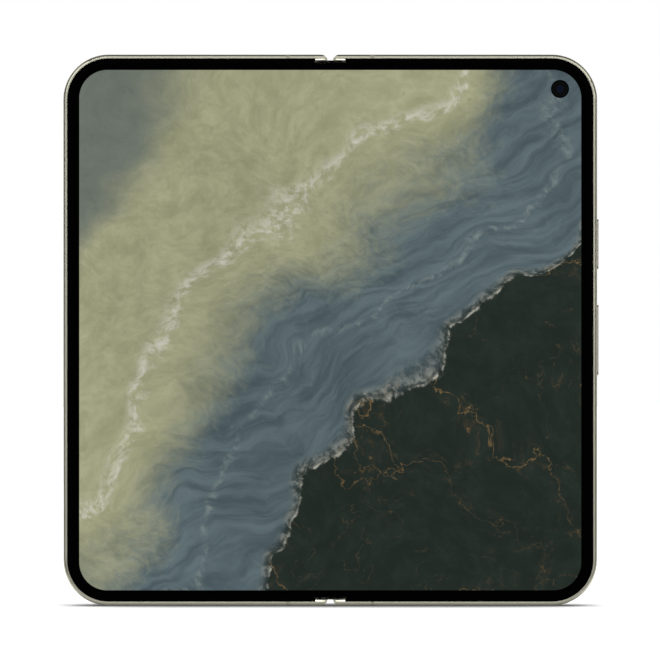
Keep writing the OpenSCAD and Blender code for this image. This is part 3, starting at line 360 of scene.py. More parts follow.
@dataclass(frozen=True)
class SatinMetal:
    """Bead-blasted, anodised aluminium."""

    name: str
    colour: Colour
    roughness: float = 0.36
    grain: float = 7000.0
    cloud: float = 60.0
    shade: float = 0.93
    relief: float = 0.001 * MM

    def made(self) -> Material:
        """Builds the material."""
        paint = Paint(self.name, Metallic=1.0)
        grain = paint.noise(self.grain, 2)
        cloud = paint.noise(self.cloud, 3)
        darker = shaded(self.colour, self.shade)
        paint.set(Base_Color=paint.mix(cloud * 0.3 + grain * 0.7, darker, self.colour))
        paint.set(Roughness=self.roughness - 0.04 + cloud * 0.02 + grain * 0.04)
        paint.bump(grain, self.relief, 0.4)
        return paint.material


@dataclass(frozen=True)
class BrushedSteel:
    """Rolled or ground steel, with fine lines along one axis."""

    name: str
    colour: Colour
    along: Axis = Axis.Z
    roughness: float = 0.3
    fine: float = 9000.0
    long: float = 300.0
    shade: float = 0.8
    relief: float = 0.003 * MM

    def made(self) -> Material:
        """Builds the material."""
        paint = Paint(self.name, Metallic=1.0)
        scale = [self.fine] * 3
        scale[self.along.value] = self.long
        lines = paint.noise(1.0, 3, paint.vector("MULTIPLY", paint.place, tuple(scale)))
        paint.set(
            Base_Color=paint.mix(lines, shaded(self.colour, self.shade), self.colour),
            Roughness=self.roughness + lines * 0.15,
        )
        paint.bump(lines, self.relief, 0.5)
        return paint.material


@dataclass(frozen=True)
class Moulded:
    """Moulded plastic or ink, satin to matte."""

    name: str
    colour: Colour
    roughness: float = 0.45
    specular: float = 0.4
    grain: float = 5000.0
    relief: float = 0.004 * MM

    def made(self) -> Material:
        """Builds the material."""
        paint = Paint(self.name, Specular_IOR_Level=self.specular)
        grain = paint.noise(self.grain, 2)
        lighter = tuple(channel * 1.15 + 0.0005 for channel in self.colour)
        paint.set(Base_Color=paint.mix(grain, self.colour, lighter))
        paint.set(Roughness=self.roughness + grain * 0.08)
        paint.bump(grain, self.relief, 0.35)
        return paint.material


@dataclass(frozen=True)
class FrostedGlass:
    """Etched rear glass over a tinted film: satin, with a faint sparkle."""

    name: str
    colour: Colour
    roughness: float = 0.34
    etch: float = 9000.0
    drift: float = 14.0
    shade: float = 0.94
    relief: float = 0.0015 * MM

    def made(self) -> Material:
        """Builds the material."""
        paint = Paint(self.name, Coat_Weight=0.12, Coat_Roughness=0.22)
        etch = paint.noise(self.etch, 2)
        drift = paint.noise(self.drift, 2)
        deeper = shaded(self.colour, self.shade)
        paint.set(Base_Color=paint.mix(drift * 0.7 + etch * 0.3, deeper, self.colour))
        paint.set(Roughness=self.roughness - 0.03 + etch * 0.08)
        paint.bump(etch, self.relief, 0.4)
        return paint.material


@dataclass(frozen=True)
class ClearFront:
    """Polished glass printed black behind, clear at round places: middle in x and z, and radius."""

    name: str
    clear: Tuple[Tuple[float, float, float], ...] = ()
    roughness: float = 0.05
    specular: float = 0.3
    shine_through: float = 0.16
    edge: Tuple[float, float] = (-0.08 * MM, 0.04 * MM)

    def made(self) -> Material:
        """Builds the material."""
        paint = Paint(self.name, Specular_IOR_Level=self.specular)
        haze = paint.noise(25.0, 3)
        smear = paint.noise(220.0, 4, roughness=0.6)
        paint.set(
            Base_Color=paint.mix(smear, tone(3, 3, 4), tone(8, 8, 10)),
            Roughness=self.roughness + haze * 0.02 + smear * 0.015,
        )
        if self.clear:
            x, _, z = paint.split(paint.place)
            cover: Number = 1.0
            for centre_x, centre_z, radius in self.clear:
                reach = ((x - centre_x) ** 2 + (z - centre_z) ** 2) ** 0.5
                near, far = self.edge
                cover = reach.rise(radius + near, radius + far).under(cover)
            paint.set(Alpha=cover * (1 - self.shine_through) + self.shine_through)
        return paint.material


@dataclass(frozen=True)
class CoatedLens:
    """Dark lens with painted reflection: the tints that a coating shows only in reflection, laid
    into its base colour, one in the middle, one in a ring and one at the rim.
    """

    name: str
    centre: Tuple[float, float]
    radius: float
    coat: Tuple[Colour, Colour, Colour]
    beyond: Colour = tone(4, 5, 6)
    places: Tuple[float, ...] = (0.0, 0.45, 0.7, 0.88, 1.0)

    def made(self) -> Material:
        """Builds the material."""
        paint = Paint(self.name, Specular_IOR_Level=0.8)
        x, _, z = paint.split(paint.place)
        reach = ((x - self.centre[0]) ** 2 + (z - self.centre[1]) ** 2) ** 0.5 / self.radius
        patch = paint.noise(1.2 / self.radius, 2)
        # painted reflection: coating tints in rings across the base colour
        stops = list(zip(self.places, (self.coat[0], *self.coat, self.beyond)))
        feeds = {0: reach + (patch - 0.5) * 0.25}
        ramp = paint.node("ShaderNodeValToRGB", {"stops": stops}, feeds)
        paint.set(Base_Color=ramp.outputs[0], Roughness=0.03 + patch * 0.03)
        return paint.material


@dataclass(frozen=True)
class BoardLaminate:
    """Circuit board: solder mask over copper lines, with pads."""

    name: str = "board_laminate"
    lines: float = 900.0
    pads: float = 1500.0
    relief: float = 0.01 * MM

    def made(self) -> Material:
        """Builds the material."""
        paint = Paint(self.name)
        lines = paint.cells(self.lines, "DISTANCE_TO_EDGE").rise(0.02, 0.1)
        pads = 1 - paint.cells(self.pads).rise(0.1, 0.16)
        mask = paint.mix(lines, tone(52, 104, 78), tone(24, 66, 50))
        paint.set(Base_Color=paint.mix(pads, mask, tone(196, 160, 92)), Metallic=pads * 0.9)
        paint.set(Roughness=0.35 - pads * 0.1)
        paint.bump(lines, self.relief, 0.5)
        return paint.material


@dataclass(frozen=True)
class CellPouch:
    """Soft foil pouch of a battery, faintly wrinkled."""

    name: str = "cell_pouch"
    wrinkle: float = 180.0
    relief: float = 0.05 * MM

    def made(self) -> Material:
        """Builds the material."""
        paint = Paint(self.name, Specular_IOR_Level=0.4)
        wrinkle = paint.noise(self.wrinkle, 4, distortion=0.8)
        grain = paint.noise(4000.0, 1)
        paint.set(Base_Color=paint.mix(grain, tone(24, 24, 26), tone(34, 34, 37)))
        paint.set(Roughness=0.38 + wrinkle * 0.2)
        paint.bump(wrinkle, self.relief, 0.6)
        return paint.material


@dataclass(frozen=True)
class EnamelledCopper:
    """Wound copper wire or etched copper film under enamel."""

    name: str = "coil_copper"

    def made(self) -> Material:
        """Builds the material."""
        paint = Paint(self.name, Metallic=1.0, Coat_Weight=0.3, Coat_Roughness=0.2)
        tarnish = paint.noise(400.0, 3)
        paint.set(Base_Color=paint.mix(tarnish, tone(150, 84, 44), tone(204, 132, 82)))
        paint.set(Roughness=0.28 + tarnish * 0.14)
        return paint.material


@dataclass(frozen=True)
class LitPicture:
    """Lit display: black glass that shows a generic picture of mineral bands in a black border."""

    name: str
    source: Source
    half_width: float = 70.7 * MM
    low: float = 4.28 * MM
    high: float = 150.85 * MM
    corner: float = 7.93 * MM
    camera: Tuple[float, float] = (64.72 * MM, 145.5 * MM)
    camera_r: float = 2.56 * MM
    soft: float = 0.05 * MM
    decimetre: float = 10.0
    low_edge: float = 0.18
    high_edge: float = 0.6
    thread: float = 0.41
    tear: float = 0.05
    mist: Tuple[float, float] = (1.16, 1.36)

    def made(self) -> Material:
        """Builds the material."""
        paint = Paint(self.name, self.source, Specular_IOR_Level=0.12)
        x, y, z = paint.split(paint.place)
        up = z if self.source is Source.OBJECT else y
        picture = self.bands(paint, x * self.decimetre, up * self.decimetre)
        shown = paint.mix(self.window(x, up), (0.0, 0.0, 0.0), picture)
        paint.set(Base_Color=tone(2, 2, 2), Emission_Color=shown, Emission_Strength=1.0)
        paint.set(Roughness=0.07 + paint.noise(30.0, 2) * 0.03)
        return paint.material

    def window(self, x: Field, up: Field) -> Field:
        """Finds where the picture shows.

        Args:
            x: Place across, in metres.
            up: Place up, in metres.

        Returns:
            1 on the picture, 0 on the border and round the camera.
        """
        beyond_x = abs(x) - (self.half_width - self.corner)
        beyond_up = abs(up - (self.low + self.high) / 2) - ((self.high - self.low) / 2 - self.corner)
        outside = (beyond_x.over(0.0) ** 2 + beyond_up.over(0.0) ** 2) ** 0.5 - self.corner
        edge = outside.over(beyond_x.over(beyond_up) - self.corner)
        hole = ((x - self.camera[0]) ** 2 + (up - self.camera[1]) ** 2) ** 0.5 - self.camera_r
        return (1 - edge.rise(-self.soft, self.soft)) * hole.rise(-self.soft, self.soft)

    def bands(self, paint: Paint, x: Field, up: Field) -> Socket:
        """Paints sage drifts, slate bands, and dark stone with bronze veins and pale lines.

        Args:
            paint: The material.
            x: Place across, in decimetres.
            up: Place up, in decimetres.

        Returns:
            The picture's colour.
        """
        bent = paint.warped(1.3, 0.55, paint.joined(x, up, 0.0), 4)
        bent_x, bent_up, _ = paint.split(bent)
        swell = paint.noise(0.9, 3, bent, 0.45)
        level = bent_up * 0.62 - bent_x * 0.78 + (swell - 0.5) * 1.3
        fine = paint.warped(9.0, 0.06, bent, 5)
        fine_x, fine_up, _ = paint.split(fine)
        streak_place = paint.joined(fine_x * 5.0 + fine_up * 2.0, fine_up * 26.0 - fine_x * 14.0, 0.0)
        streaks = paint.noise(1.0, 5, streak_place, 0.6)
        ripple = paint.noise(26.0, 4, paint.joined(fine_x, fine_up * 1.9, 3.0), 0.6)
        pebble = paint.noise(14.0, 8, fine, 0.7)
        grit = paint.noise(42.0, 6, fine, 0.65)

        sage = paint.laid(
            paint.mix(pebble.rise(0.3, 0.72), tone(154, 155, 122), tone(178, 178, 144)),
            (ripple.rise(0.42, 0.62) * 0.3, tone(144, 147, 114)),
            (streaks.rise(0.42, 0.75) * 0.3, tone(184, 184, 150)),
            (grit.rise(0.55, 0.8) * 0.35, tone(104, 110, 88)),
        )
        slate = paint.laid(
            paint.mix(streaks.rise(0.3, 0.7), tone(76, 91, 97), tone(101, 117, 122)),
            (grit.rise(0.5, 0.85) * 0.3, tone(122, 134, 132)),
        )
        seam = paint.noise(2.1, 7, bent, 0.52)
        veins = seam.line(0.5, 0.0026) * grit.rise(0.3, 0.6) * swell.rise(0.3, 0.5)
        dust = seam.line(0.5, 0.05) * grit.rise(0.48, 0.72) * pebble.rise(0.4, 0.7)
        hair = paint.noise(4.4, 6, bent, 0.5).line(0.48, 0.004) * grit.rise(0.42, 0.66)
        dark = paint.laid(
            paint.mix(pebble.rise(0.35, 0.8), tone(36, 44, 39), tone(46, 55, 49)),
            (dust * 0.6, tone(112, 88, 54)),
            (veins * 0.7, tone(150, 122, 80)),
            (hair * 0.4, tone(112, 94, 64)),
        )

        tear = (grit - 0.5) * self.tear

        def torn(share: float) -> Field:
            """The level, with its edges torn by a share of the grit."""
            return level + tear * share

        low, high = self.low_edge, self.high_edge
        froth = grit.rise(0.38, 0.7)
        pale = tone(214, 214, 200)
        return paint.laid(
            paint.mix(torn(0.5).rise(low - 0.01, low + 0.05), dark, slate),
            (torn(3.0).rise(high - 0.12, high + 0.12), sage),
            (level.rise(*self.mist) * 0.75, tone(84, 98, 102)),
            (torn(1.2).line(low + 0.02, 0.03) * froth * 0.3, pale),
            (torn(0.5).line(low, 0.007) * froth * 0.7, pale),
            (torn(1.6).line(high + 0.16, 0.045) * froth * 0.85, pale),
            (torn(0.6).line(self.thread, 0.02) * froth * 0.5, tone(150, 160, 156)),
            ((1 - swell.rise(0.25, 0.8)) * 0.22, tone(20, 26, 26)),
        )


@dataclass
class Shape:
    """Vertices and faces of a piece that is being made."""

    points: List[Point] = field(default_factory=list)
    faces: List[Tuple[int, ...]] = field(default_factory=list)

    def add(self, points: Sequence[Point], faces: Sequence[Tuple[int, ...]]) -> None:
        """Adds points, and faces that count from the first of them."""
        start = len(self.points)
        self.points.extend(points)
        self.faces.extend(tuple(index + start for index in face) for face in faces)

    def sheet(self, points: Sequence[Point], width: int) -> None:
        """Adds a grid of points with the faces between them.

        Args:
            points: The grid's points, row by row.
            width: Points in a row.
        """
        rows = range(len(points) // width - 1)
        starts = [row * width + place for row in rows for place in range(width - 1)]
        self.add(points, [(at, at + 1, at + width + 1, at + width) for at in starts])

    def mesh(self, name: str) -> Mesh:
        """Turns the shape into a mesh without double points, whose faces point outwards."""
        made = bpy.data.meshes.new(name)
        made.from_pydata(self.points, [], self.faces)
        return edited(made, weld, turn_outwards)


def edited(mesh: Mesh, *edits: Edit) -> Mesh:
    """Edits a mesh in place.

    Args:
        mesh: The mesh.
        edits: What is done to it, in order.

    Returns:
        The same mesh.
    """
    work = bmesh.new()
    work.from_mesh(mesh)
    for edit in edits:
        edit(work)
    work.to_mesh(mesh)
    work.free()
    return mesh


def weld(work: bmesh.types.BMesh) -> None:
    """Joins points that share a place."""
    bmesh.ops.remove_doubles(work, verts=work.verts, dist=WELD)


def turn_outwards(work: bmesh.types.BMesh) -> None:
    """Points all faces outwards."""
    bmesh.ops.recalc_face_normals(work, faces=work.faces)


def crease(work: bmesh.types.BMesh) -> None:
    """Marks edges that are open or bend by SHARP or more, so that shading breaks there."""
    for edge in work.edges:
        edge.smooth = len(edge.link_faces) == 2 and edge.calc_face_angle(0.0) < SHARP


def turned(
    profile: Sequence[Tuple[float, float]], centre: Point, outward: float, sides: int = 64
) -> Shape:
    """Turns an outline about a line along Y.

    Args:
        profile: Radii and heights in metres; it closes, or else starts and ends on the line.
        centre: Where the line passes at a height of 0.
        outward: 1 if heights run towards +Y, -1 towards -Y.
        sides: Number of sides.

    Returns:
        The turned shape.
    """
    angles = [2 * math.pi * (side % sides) / sides for side in range(sides + 1)]
    closed = [profile[0]] if profile[0][0] > 0 else []
    x, y, z = centre
    points = [
        (x + radius * math.cos(angle), y + outward * height, z + radius * math.sin(angle))
        for radius, height in (*profile, *closed)
        for angle in angles
    ]
    shape = Shape()
    shape.sheet(points, len(angles))
    return shape


def piece(
    name: str,
    mesh: Mesh,
    material: Material,
    body: Optional[str] = None,
    smooth: bool = True,
) -> bpy.types.Object:
    """Makes an object from a mesh, gives it its finish and lets it ride on a body.

    Args:
        name: Its name.
        mesh: Its mesh, in place.
        material: Its finish.
        body: The body it rides on, or none to leave it on no body.
        smooth: Whether shallow angles are shaded smooth.

    Returns:
        The object.
    """
    made = bpy.data.objects.new(name, mesh)
    bpy.context.scene.collection.objects.link(made)
    mesh.materials.clear()
    mesh.materials.append(material)
    if smooth:
        mesh.shade_smooth()
        edited(mesh, crease)
    if body:
        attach(made, body)
    log.info("made %s", name)
    return made


class RowTree(Tree):
    """Geometry nodes that set rows of blocks or bars along a line."""

    def __init__(self) -> None:
        """Builds the tree once."""
        group = bpy.data.node_groups.new("row_of_blocks", "GeometryNodeTree")
        super().__init__(group)
        self.ids: Dict[str, str] = {}
        group.interface.new_socket("Geometry", in_out="OUTPUT", socket_type="NodeSocketGeometry")
        kinds = dict.fromkeys(("Rows", "Count"), "NodeSocketInt")
        kinds.update(dict.fromkeys(("Row Step", "Step", "Start", "Size"), "NodeSocketVector"))
        kinds["Finish"] = "NodeSocketMaterial"
        for name, kind in kinds.items():
            socket = group.interface.new_socket(name, in_out="INPUT", socket_type=kind)
            self.ids[name] = socket.identifier
        given = self.node("NodeGroupInput").outputs
        rows = self.line(given["Rows"], given["Row Step"], {"Start Location": given["Start"]})
        row = self.line(given["Count"], given["Step"], {})
        block = self.node("GeometryNodeMeshCube", None, {"Size": given["Size"]}).outputs[0]
        grid = self.copies(rows, self.copies(row, block))
        real = self.node("GeometryNodeRealizeInstances", None, {0: grid}).outputs[0]
        finish_feeds = {"Geometry": real, "Material": given["Finish"]}
        coloured = self.node("GeometryNodeSetMaterial", None, finish_feeds)
        self.node("NodeGroupOutput", None, {0: coloured.outputs[0]})

    def line(self, count: Socket, step: Socket, feeds: Dict[str, Feed]) -> Socket:
        """Sets points in a line."""
        feeds = {"Count": count, "Offset": step, **feeds}
        return self.node("GeometryNodeMeshLine", {"mode": "OFFSET"}, feeds).outputs[0]

    def copies(self, points: Socket, item: Socket) -> Socket:
        """Sets a copy of an item on every point."""
        feeds = {"Points": points, "Instance": item}
        return self.node("GeometryNodeInstanceOnPoints", None, feeds).outputs[0]

    def mesh(self, name: str, material: Material, **values: Union[int, Point]) -> Mesh:
        """Runs the tree and keeps its result as a plain mesh.

        Args:
            name: The mesh's name.
            material: The material of the blocks.
            values: The tree's inputs, of one row at 0 if they don't say otherwise; an
                underscore in a name stands for a space.

        Returns:
            The mesh.
        """
        carrier = bpy.data.objects.new(name, bpy.data.meshes.new(name))
        bpy.context.scene.collection.objects.link(carrier)
        modifier = carrier.modifiers.new("row", "NODES")
        modifier.node_group = self.tree
        for key, value in {"Rows": 1, "Finish": material, **values}.items():
            modifier[self.ids[key.replace("_", " ")]] = value
        graph = bpy.context.evaluated_depsgraph_get()
        made = bpy.data.meshes.new_from_object(carrier.evaluated_get(graph))
        bpy.data.objects.remove(carrier)
        return made


@dataclass
class InnerDisplay:
    """The one display that runs over the fold: two stiff sides, and two strips beside the fold line."""

    columns: int = 28
    rows: int = 12
    fold_reach: float = 4.3 * MM
    bend_from: float = 1.4 * MM

    def build(self) -> None:
        """Dresses the stiff sides and makes the fold strips and what lies under them."""
        stiff = LitPicture("display_picture", Source.OBJECT).made()
        for node in ("inner_display_main", "inner_display_cover"):
            assign(node, stiff)
        soft = LitPicture("display_picture_fold", Source.PICTURE_MAP).made()
        steel, copper = finish("plate_steel"), finish("coil_copper")
        self.halve("display_fold", "fold_strip_{0}", soft)
        self.halve("fold_lattice", "fold_lattice_{0}_half", steel)
        self.halve("hinge_flex", "hinge_flex_{0}_half", copper)

    def halve(self, node: str, names: str, material: Material) -> None:
        """Makes two parts in a node's place, one on each side of the fold line; they ride on no body.

        Args:
            node: The node.
            names: The parts' names, with a gap for the half.
            material: Their finish.
        """
        low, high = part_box(node)
        parts = []
        for half, end in (("main", self.fold_reach), ("cover", -self.fold_reach)):
            name, body = names.format(half), half + "_half"
            if node == "display_fold":
                mesh = self.strip(name, low, high, end)
            else:
                mesh = frame["nodes"][node].data.copy()
                edited(mesh, weld, cut_at_fold(end), turn_outwards)
            part = piece(name, mesh, material, smooth=False)
            if half == "main":
                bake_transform(part)
            else:
                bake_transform(part)
            parts.append(part)
        for part in parts:
            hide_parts(node)

    def strip(self, name: str, low: Vector, high: Vector, end: float) -> Mesh:
        """Makes a closed strip, with its rest place kept as a map for the picture.

        Args:
            name: The mesh's name.
            low: Lowest corner of the strip's node.
            high: Highest corner of the strip's node.
            end: How far it reaches from the fold line, with its sign.

        Returns:
            The mesh.
        """
        shape = Shape()
        across = [end * step / self.columns for step in range(self.columns + 1)]
        along = [low.z + (high.z - low.z) * step / self.rows for step in range(self.rows + 1)]
        depths = (low.y, high.y)
        for depth in depths:
            shape.sheet([(x, depth, z) for x in across for z in along], len(along))
        for x in (across[0], across[-1]):
            shape.sheet([(x, depth, z) for z in along for depth in depths], len(depths))
        for z in (along[0], along[-1]):
            shape.sheet([(x, depth, z) for x in across for depth in depths], len(depths))
        made = shape.mesh(name)
        layer = made.uv_layers.new(name=Source.PICTURE_MAP.value)
        for loop in made.loops:
            place = made.vertices[loop.vertex_index].co
            layer.data[loop.index].uv = (place.x, place.z)
        return made


@dataclass
class Camera:
    """One camera of the main half: a dome with painted coating reflections over the solid's own lens."""

    name: str
    node: str
    radius: float
    coat: Tuple[Colour, Colour, Colour]
    rise: float = 0.42 * MM
    depth: float = 0.6 * MM
    outward: float = 1.0
    steps: int = 10
    skirt: float = -0.05 * MM

    def build(self) -> None:
        """Makes the dome and lets it ride with its camera."""
        low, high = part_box(self.node)
        face = high.y if self.outward > 0 else low.y
        centre = ((low.x + high.x) / 2, face - self.outward * self.depth, (low.z + high.z) / 2)
        ball = (self.radius**2 + self.rise**2) / (2 * self.rise)
        profile = [(0.0, self.rise)]
        for step in range(1, self.steps + 1):
            radius = self.radius * step / self.steps
            profile.append((radius, math.sqrt(ball**2 - radius**2) - ball + self.rise))
        profile += [(self.radius, self.skirt), (0.0, self.skirt)]
        dome = turned(profile, centre, self.outward).mesh(self.name)
        coating = CoatedLens(self.name + "_coating", (centre[0], centre[2]), self.radius, self.coat)
        piece(self.name, dome, coating.made(), "main_half")


@dataclass
class RearCameras:
    """Island on the rear glass: windows with clear places, lens rings and lenses."""

    places: Tuple[Tuple[str, float, float, float], ...] = (
        ("wide", 56.5 * MM, 135.95 * MM, 3.9 * MM),
        ("ultrawide", 42.5 * MM, 135.95 * MM, 2.9 * MM),
        ("telephoto", 42.5 * MM, 121.45 * MM, 3.4 * MM),
        ("flash", 56.5 * MM, 121.45 * MM, 2.0 * MM),
    )
    ring_width: float = 0.3 * MM
    ring_bevel: float = 0.05 * MM
    ring_proud: float = 0.012 * MM
    ring_root: float = -0.03 * MM
    ring_sunk: float = 0.013 * MM

    def build(self) -> None:
        """Dresses the windows and makes the lenses and the rings round them."""
        clear = tuple((x, z, radius) for _, x, z, radius in self.places)
        assign("camera_windows", ClearFront("window_glass", clear).made())
        # painted reflection tints of the lens coatings: middle, ring and rim
        violet = (tone(12, 14, 36), tone(60, 34, 84), tone(14, 48, 52))
        teal = (tone(8, 22, 30), tone(24, 66, 66), tone(50, 34, 66))
        amber = (tone(16, 14, 26), tone(74, 56, 34), tone(24, 36, 58))
        lens = {"wide": (2.6, violet), "ultrawide": (1.6, teal), "telephoto": (2.1, amber)}
        for name, (radius, coat) in lens.items():
            Camera(name + "_lens", name + "_camera", radius * MM, coat).build()
        _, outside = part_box("camera_windows")
        metal = SatinMetal("lens_ring_metal", tone(120, 118, 106), 0.25).made()
        for name, x, z, radius in self.places[: len(lens)]:
            far = radius + self.ring_width
            profile = [
                (radius, self.ring_root),
                (radius, 0.0),
                (radius + self.ring_bevel, self.ring_proud),
                (far - self.ring_bevel, self.ring_proud),
                (far, 0.0),
                (far, self.ring_root),
            ]
            ring = turned(profile, (x, outside.y - self.ring_sunk, z), 1.0, 96).mesh(name + "_ring")
            piece(name + "_ring", ring, metal, "main_half")


@dataclass
class BottomEdge:
    """Contacts in the charging socket and gauze behind the speaker's holes."""

    rows: RowTree
    contacts: int = 12
    contact_pitch: float = 0.5 * MM
    contact_size: Point = (0.26 * MM, 0.04 * MM, 4.0 * MM)
    contact_rise: float = 3.4 * MM
    tongue: float = 0.35 * MM
    wire: float = 0.06 * MM
    wire_pitch: float = 0.22 * MM
    wires: int = 6
    holes: int = 6
    hole_pitch: float = 2.0 * MM
    hole_r: float = 0.6 * MM
    gauze_depth: float = 0.55 * MM

    def build(self) -> None:
        """Makes the contacts and the gauze."""
        gold = SatinMetal("contact_gold", tone(226, 184, 110), 0.25).made()
        low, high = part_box("usb_port")
        middle = (low + high) / 2
        first_x = middle.x - (self.contacts - 1) * self.contact_pitch / 2
        off = self.tongue + self.contact_size[1] / 4
        contacts = [
            self.rows.mesh(
                "contacts",
                gold,
                Count=self.contacts,
                Step=(self.contact_pitch, 0.0, 0.0),
                Start=(first_x, middle.y + side * off, low.z + self.contact_rise),
                Size=self.contact_size,
            )
            for side in (-1.0, 1.0)
        ]
        joined_piece("socket_contacts", contacts, gold, "main_half")
        black = finish("camera_black")
        low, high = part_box("bottom_speaker")
        hole_x = (low.x + high.x) / 2 - (self.holes - 1) * self.hole_pitch / 2
        half = (self.wires - 1) * self.wire_pitch / 2
        length = 2 * self.hole_r + self.wire
        gauze = [
            self.rows.mesh(
                "gauze",
                black,
                Rows=self.holes,
                Row_Step=(self.hole_pitch, 0.0, 0.0),
                Count=self.wires,
                Step=(self.wire_pitch * along, self.wire_pitch * (1 - along), 0.0),
                Start=(hole_x - half * along, middle.y - half * (1 - along), self.gauze_depth),
                Size=size,
            )
            for along, size in (
                (1, (self.wire, length, self.wire)),
                (0, (length, self.wire, self.wire)),
            )
        ]
        joined_piece("speaker_gauze", gauze, black, "main_half")


@dataclass
class HingeNotch:
    """Ledges beside the hinge in a painted highlight, and sweep seals whose dark blocks also paint the
    shade in the gap under them, at both ends.
    """

    rows: RowTree
    height: float = 155.2 * MM
    ledge_from: float = 1.5 * MM
    ledge_to: float = 4.2 * MM
    ledge_top: float = 154.06 * MM
    ledge_rise: Tuple[float, float] = (0.19 * MM, 0.43 * MM)
    ledge_depth: float = 2.05 * MM
    ledge_lip: float = 0.004 * MM
    ledge_back: float = 0.01 * MM
    lean: float = math.radians(8.0)
    steps: int = 8
    seal_y: float = -1.5 * MM
    seal_z: float = 153.475 * MM
    bristles: int = 42
    bristle: Point = (0.19 * MM, 0.6 * MM, 0.2 * MM)
    bristle_gap: float = 0.01 * MM
    wing_y: float = -1.87 * MM
    wing_z: float = 153.1 * MM
    wing_x: Tuple[float, float] = (3.73 * MM, 4.13 * MM)
    wing_size: Point = (0.19 * MM, 0.44 * MM, 0.46 * MM)

    def build(self) -> None:
        """Makes the four ledges and the two seals."""
        # painted highlight: a near-white copy of the band metal stands in for the glint on the ledges
        painted_glint_metal = SatinMetal("cut_ledge", tone(250, 246, 226), 0.24).made()
        for end, bottom in (("top", False), ("bottom", True)):
            for side, body in ((1.0, "main_half"), (-1.0, "cover_half")):
                name = f"cut_ledge_{end}_{body}"
                piece(name, self.ledge(side, bottom).mesh(name), painted_glint_metal, body)
            levels = (self.seal_z, self.wing_z)
            self.seal(end, *(self.height - level if bottom else level for level in levels))

    def ledge(self, side: float, bottom: bool) -> Shape:
        """Shapes one ledge, a thin wedge that leans back towards its upper edge.

        Args:
            side: 1 on the main half, -1 on the cover half.
            bottom: Whether it is at the bottom end.

        Returns:
            The ledge.
        """
        rings: List[List[Point]] = []
        for step in range(self.steps + 1):
            share = step / self.steps
            x = side * (self.ledge_from + (self.ledge_to - self.ledge_from) * share)
            rise = self.ledge_rise[0] + (self.ledge_rise[1] - self.ledge_rise[0]) * share**0.6
            low, high = self.ledge_top - rise, self.ledge_top
            if bottom:
                low, high = self.height - high, self.height - low
            front = -self.ledge_depth
            back = front + self.ledge_back
            proud = (x, front - rise * math.tan(self.lean), low)
            rings.append([proud, (x, front - self.ledge_lip, high), (x, back, high), (x, back, low)])
        shape = Shape()
        shape.sheet([point for ring in rings for point in (*ring, ring[0])], 5)
        for ring in (rings[0], rings[-1]):
            shape.add(ring, [(0, 1, 2, 3)])
        return shape

    def seal(self, end: str, level: float, wing_level: float) -> None:
        """Makes the bristles between the spine and the two halves, and those beside its end cap;
        they stand for real sweep seals and, dark brown, also paint the shade inside the gap.

        Args:
            end: Which end of the hinge.
            level: Height of the long row.
            wing_level: Height of the short rows.
        """
        # partly painted shade: the dark brown blocks fill the gap where only its shade would show
        dark = finish("seal_bristle")
        pitch = self.bristle[0] + self.bristle_gap
        near, far = self.wing_x
        wing = round((far - near) / pitch) + 1
        first = -(self.bristles - 1) * pitch / 2
        rows = (
            (self.bristles, (first, self.seal_y, level), self.bristle),
            (wing, (near, self.wing_y, wing_level), self.wing_size),
            (wing, (-far, self.wing_y, wing_level), self.wing_size),
        )
        step = (pitch, 0.0, 0.0)
        meshes = [
            self.rows.mesh("bristles", dark, Count=count, Step=step, Start=start, Size=size)
            for count, start, size in rows
        ]
        joined_piece(f"sweep_seal_{end}", meshes, dark, "spine")


def cut_at_fold(side: float) -> Edit:
    """Gives an edit that keeps one side of the fold line and closes the cut.

    Args:
        side: A number with the sign of the side that is kept.

    Returns:
        The edit.
    """

    def edit(work: bmesh.types.BMesh) -> None:
        """Cuts the mesh and closes it."""
        cut = bmesh.ops.bisect_plane(
            work,
            geom=work.verts[:] + work.edges[:] + work.faces[:],
            plane_co=(0.0, 0.0, 0.0),
            plane_no=(math.copysign(1.0, -side), 0.0, 0.0),
            clear_outer=True,
        )
        edges = [item for item in cut["geom_cut"] if isinstance(item, bmesh.types.BMEdge)]
        bmesh.ops.holes_fill(work, edges=edges)

    return edit


def joined_piece(name: str, meshes: Sequence[Mesh], material: Material, body: str) -> None:
    """Joins meshes into one piece with flat sides.

    Args:
        name: The piece's name.
        meshes: The meshes.
        material: Its finish.
        body: The body it rides on.
    """
    work = bmesh.new()
    for mesh in meshes:
        work.from_mesh(mesh)
    whole = bpy.data.meshes.new(name)
    work.to_mesh(whole)
    work.free()
    piece(name, whole, material, body, smooth=False)


FINISHES = {
    kind.name: kind
    for kind in (
        SatinMetal("anodised_band", tone(196, 194, 176)),
        SatinMetal("button_metal", tone(214, 209, 198), 0.3),
        Moulded("break_plastic", tone(174, 172, 150), 0.42),
        Moulded("black_bezel", tone(1, 1, 2), 0.16, 0.02),
        # dark brown of the sweep seals, which also paints the shade in the hinge gap
        Moulded("seal_bristle", tone(50, 43, 36), 0.8, 0.1),
        BrushedSteel("plate_steel", tone(190, 190, 192)),
        FrostedGlass("rear_glass", tone(150, 154, 134)),
        ClearFront("black_glass"),
        Moulded("outer_panel", tone(6, 6, 8), 0.25, 0.3),
        Moulded("camera_black", tone(3, 3, 4), 0.3, 0.05),
        Moulded("flash_diffuser", tone(236, 228, 196), 0.3, 0.5, 2500.0),
        CellPouch(),
        BoardLaminate(),
        EnamelledCopper(),
        BrushedSteel("magnet_nickel", tone(205, 203, 196), Axis.Z, 0.2),
        BrushedSteel("hinge_steel", tone(176, 177, 180), Axis.Z, 0.26),
        BrushedSteel("brass_gear", tone(196, 164, 106), Axis.X, 0.24),
    )
}
made_finishes: Dict[str, Material] = {}


def finish(name: str) -> Material:
    """Gives a finish by its name, made once."""
    if name not in made_finishes:
        made_finishes[name] = FINISHES[name].made()
    return made_finishes[name]


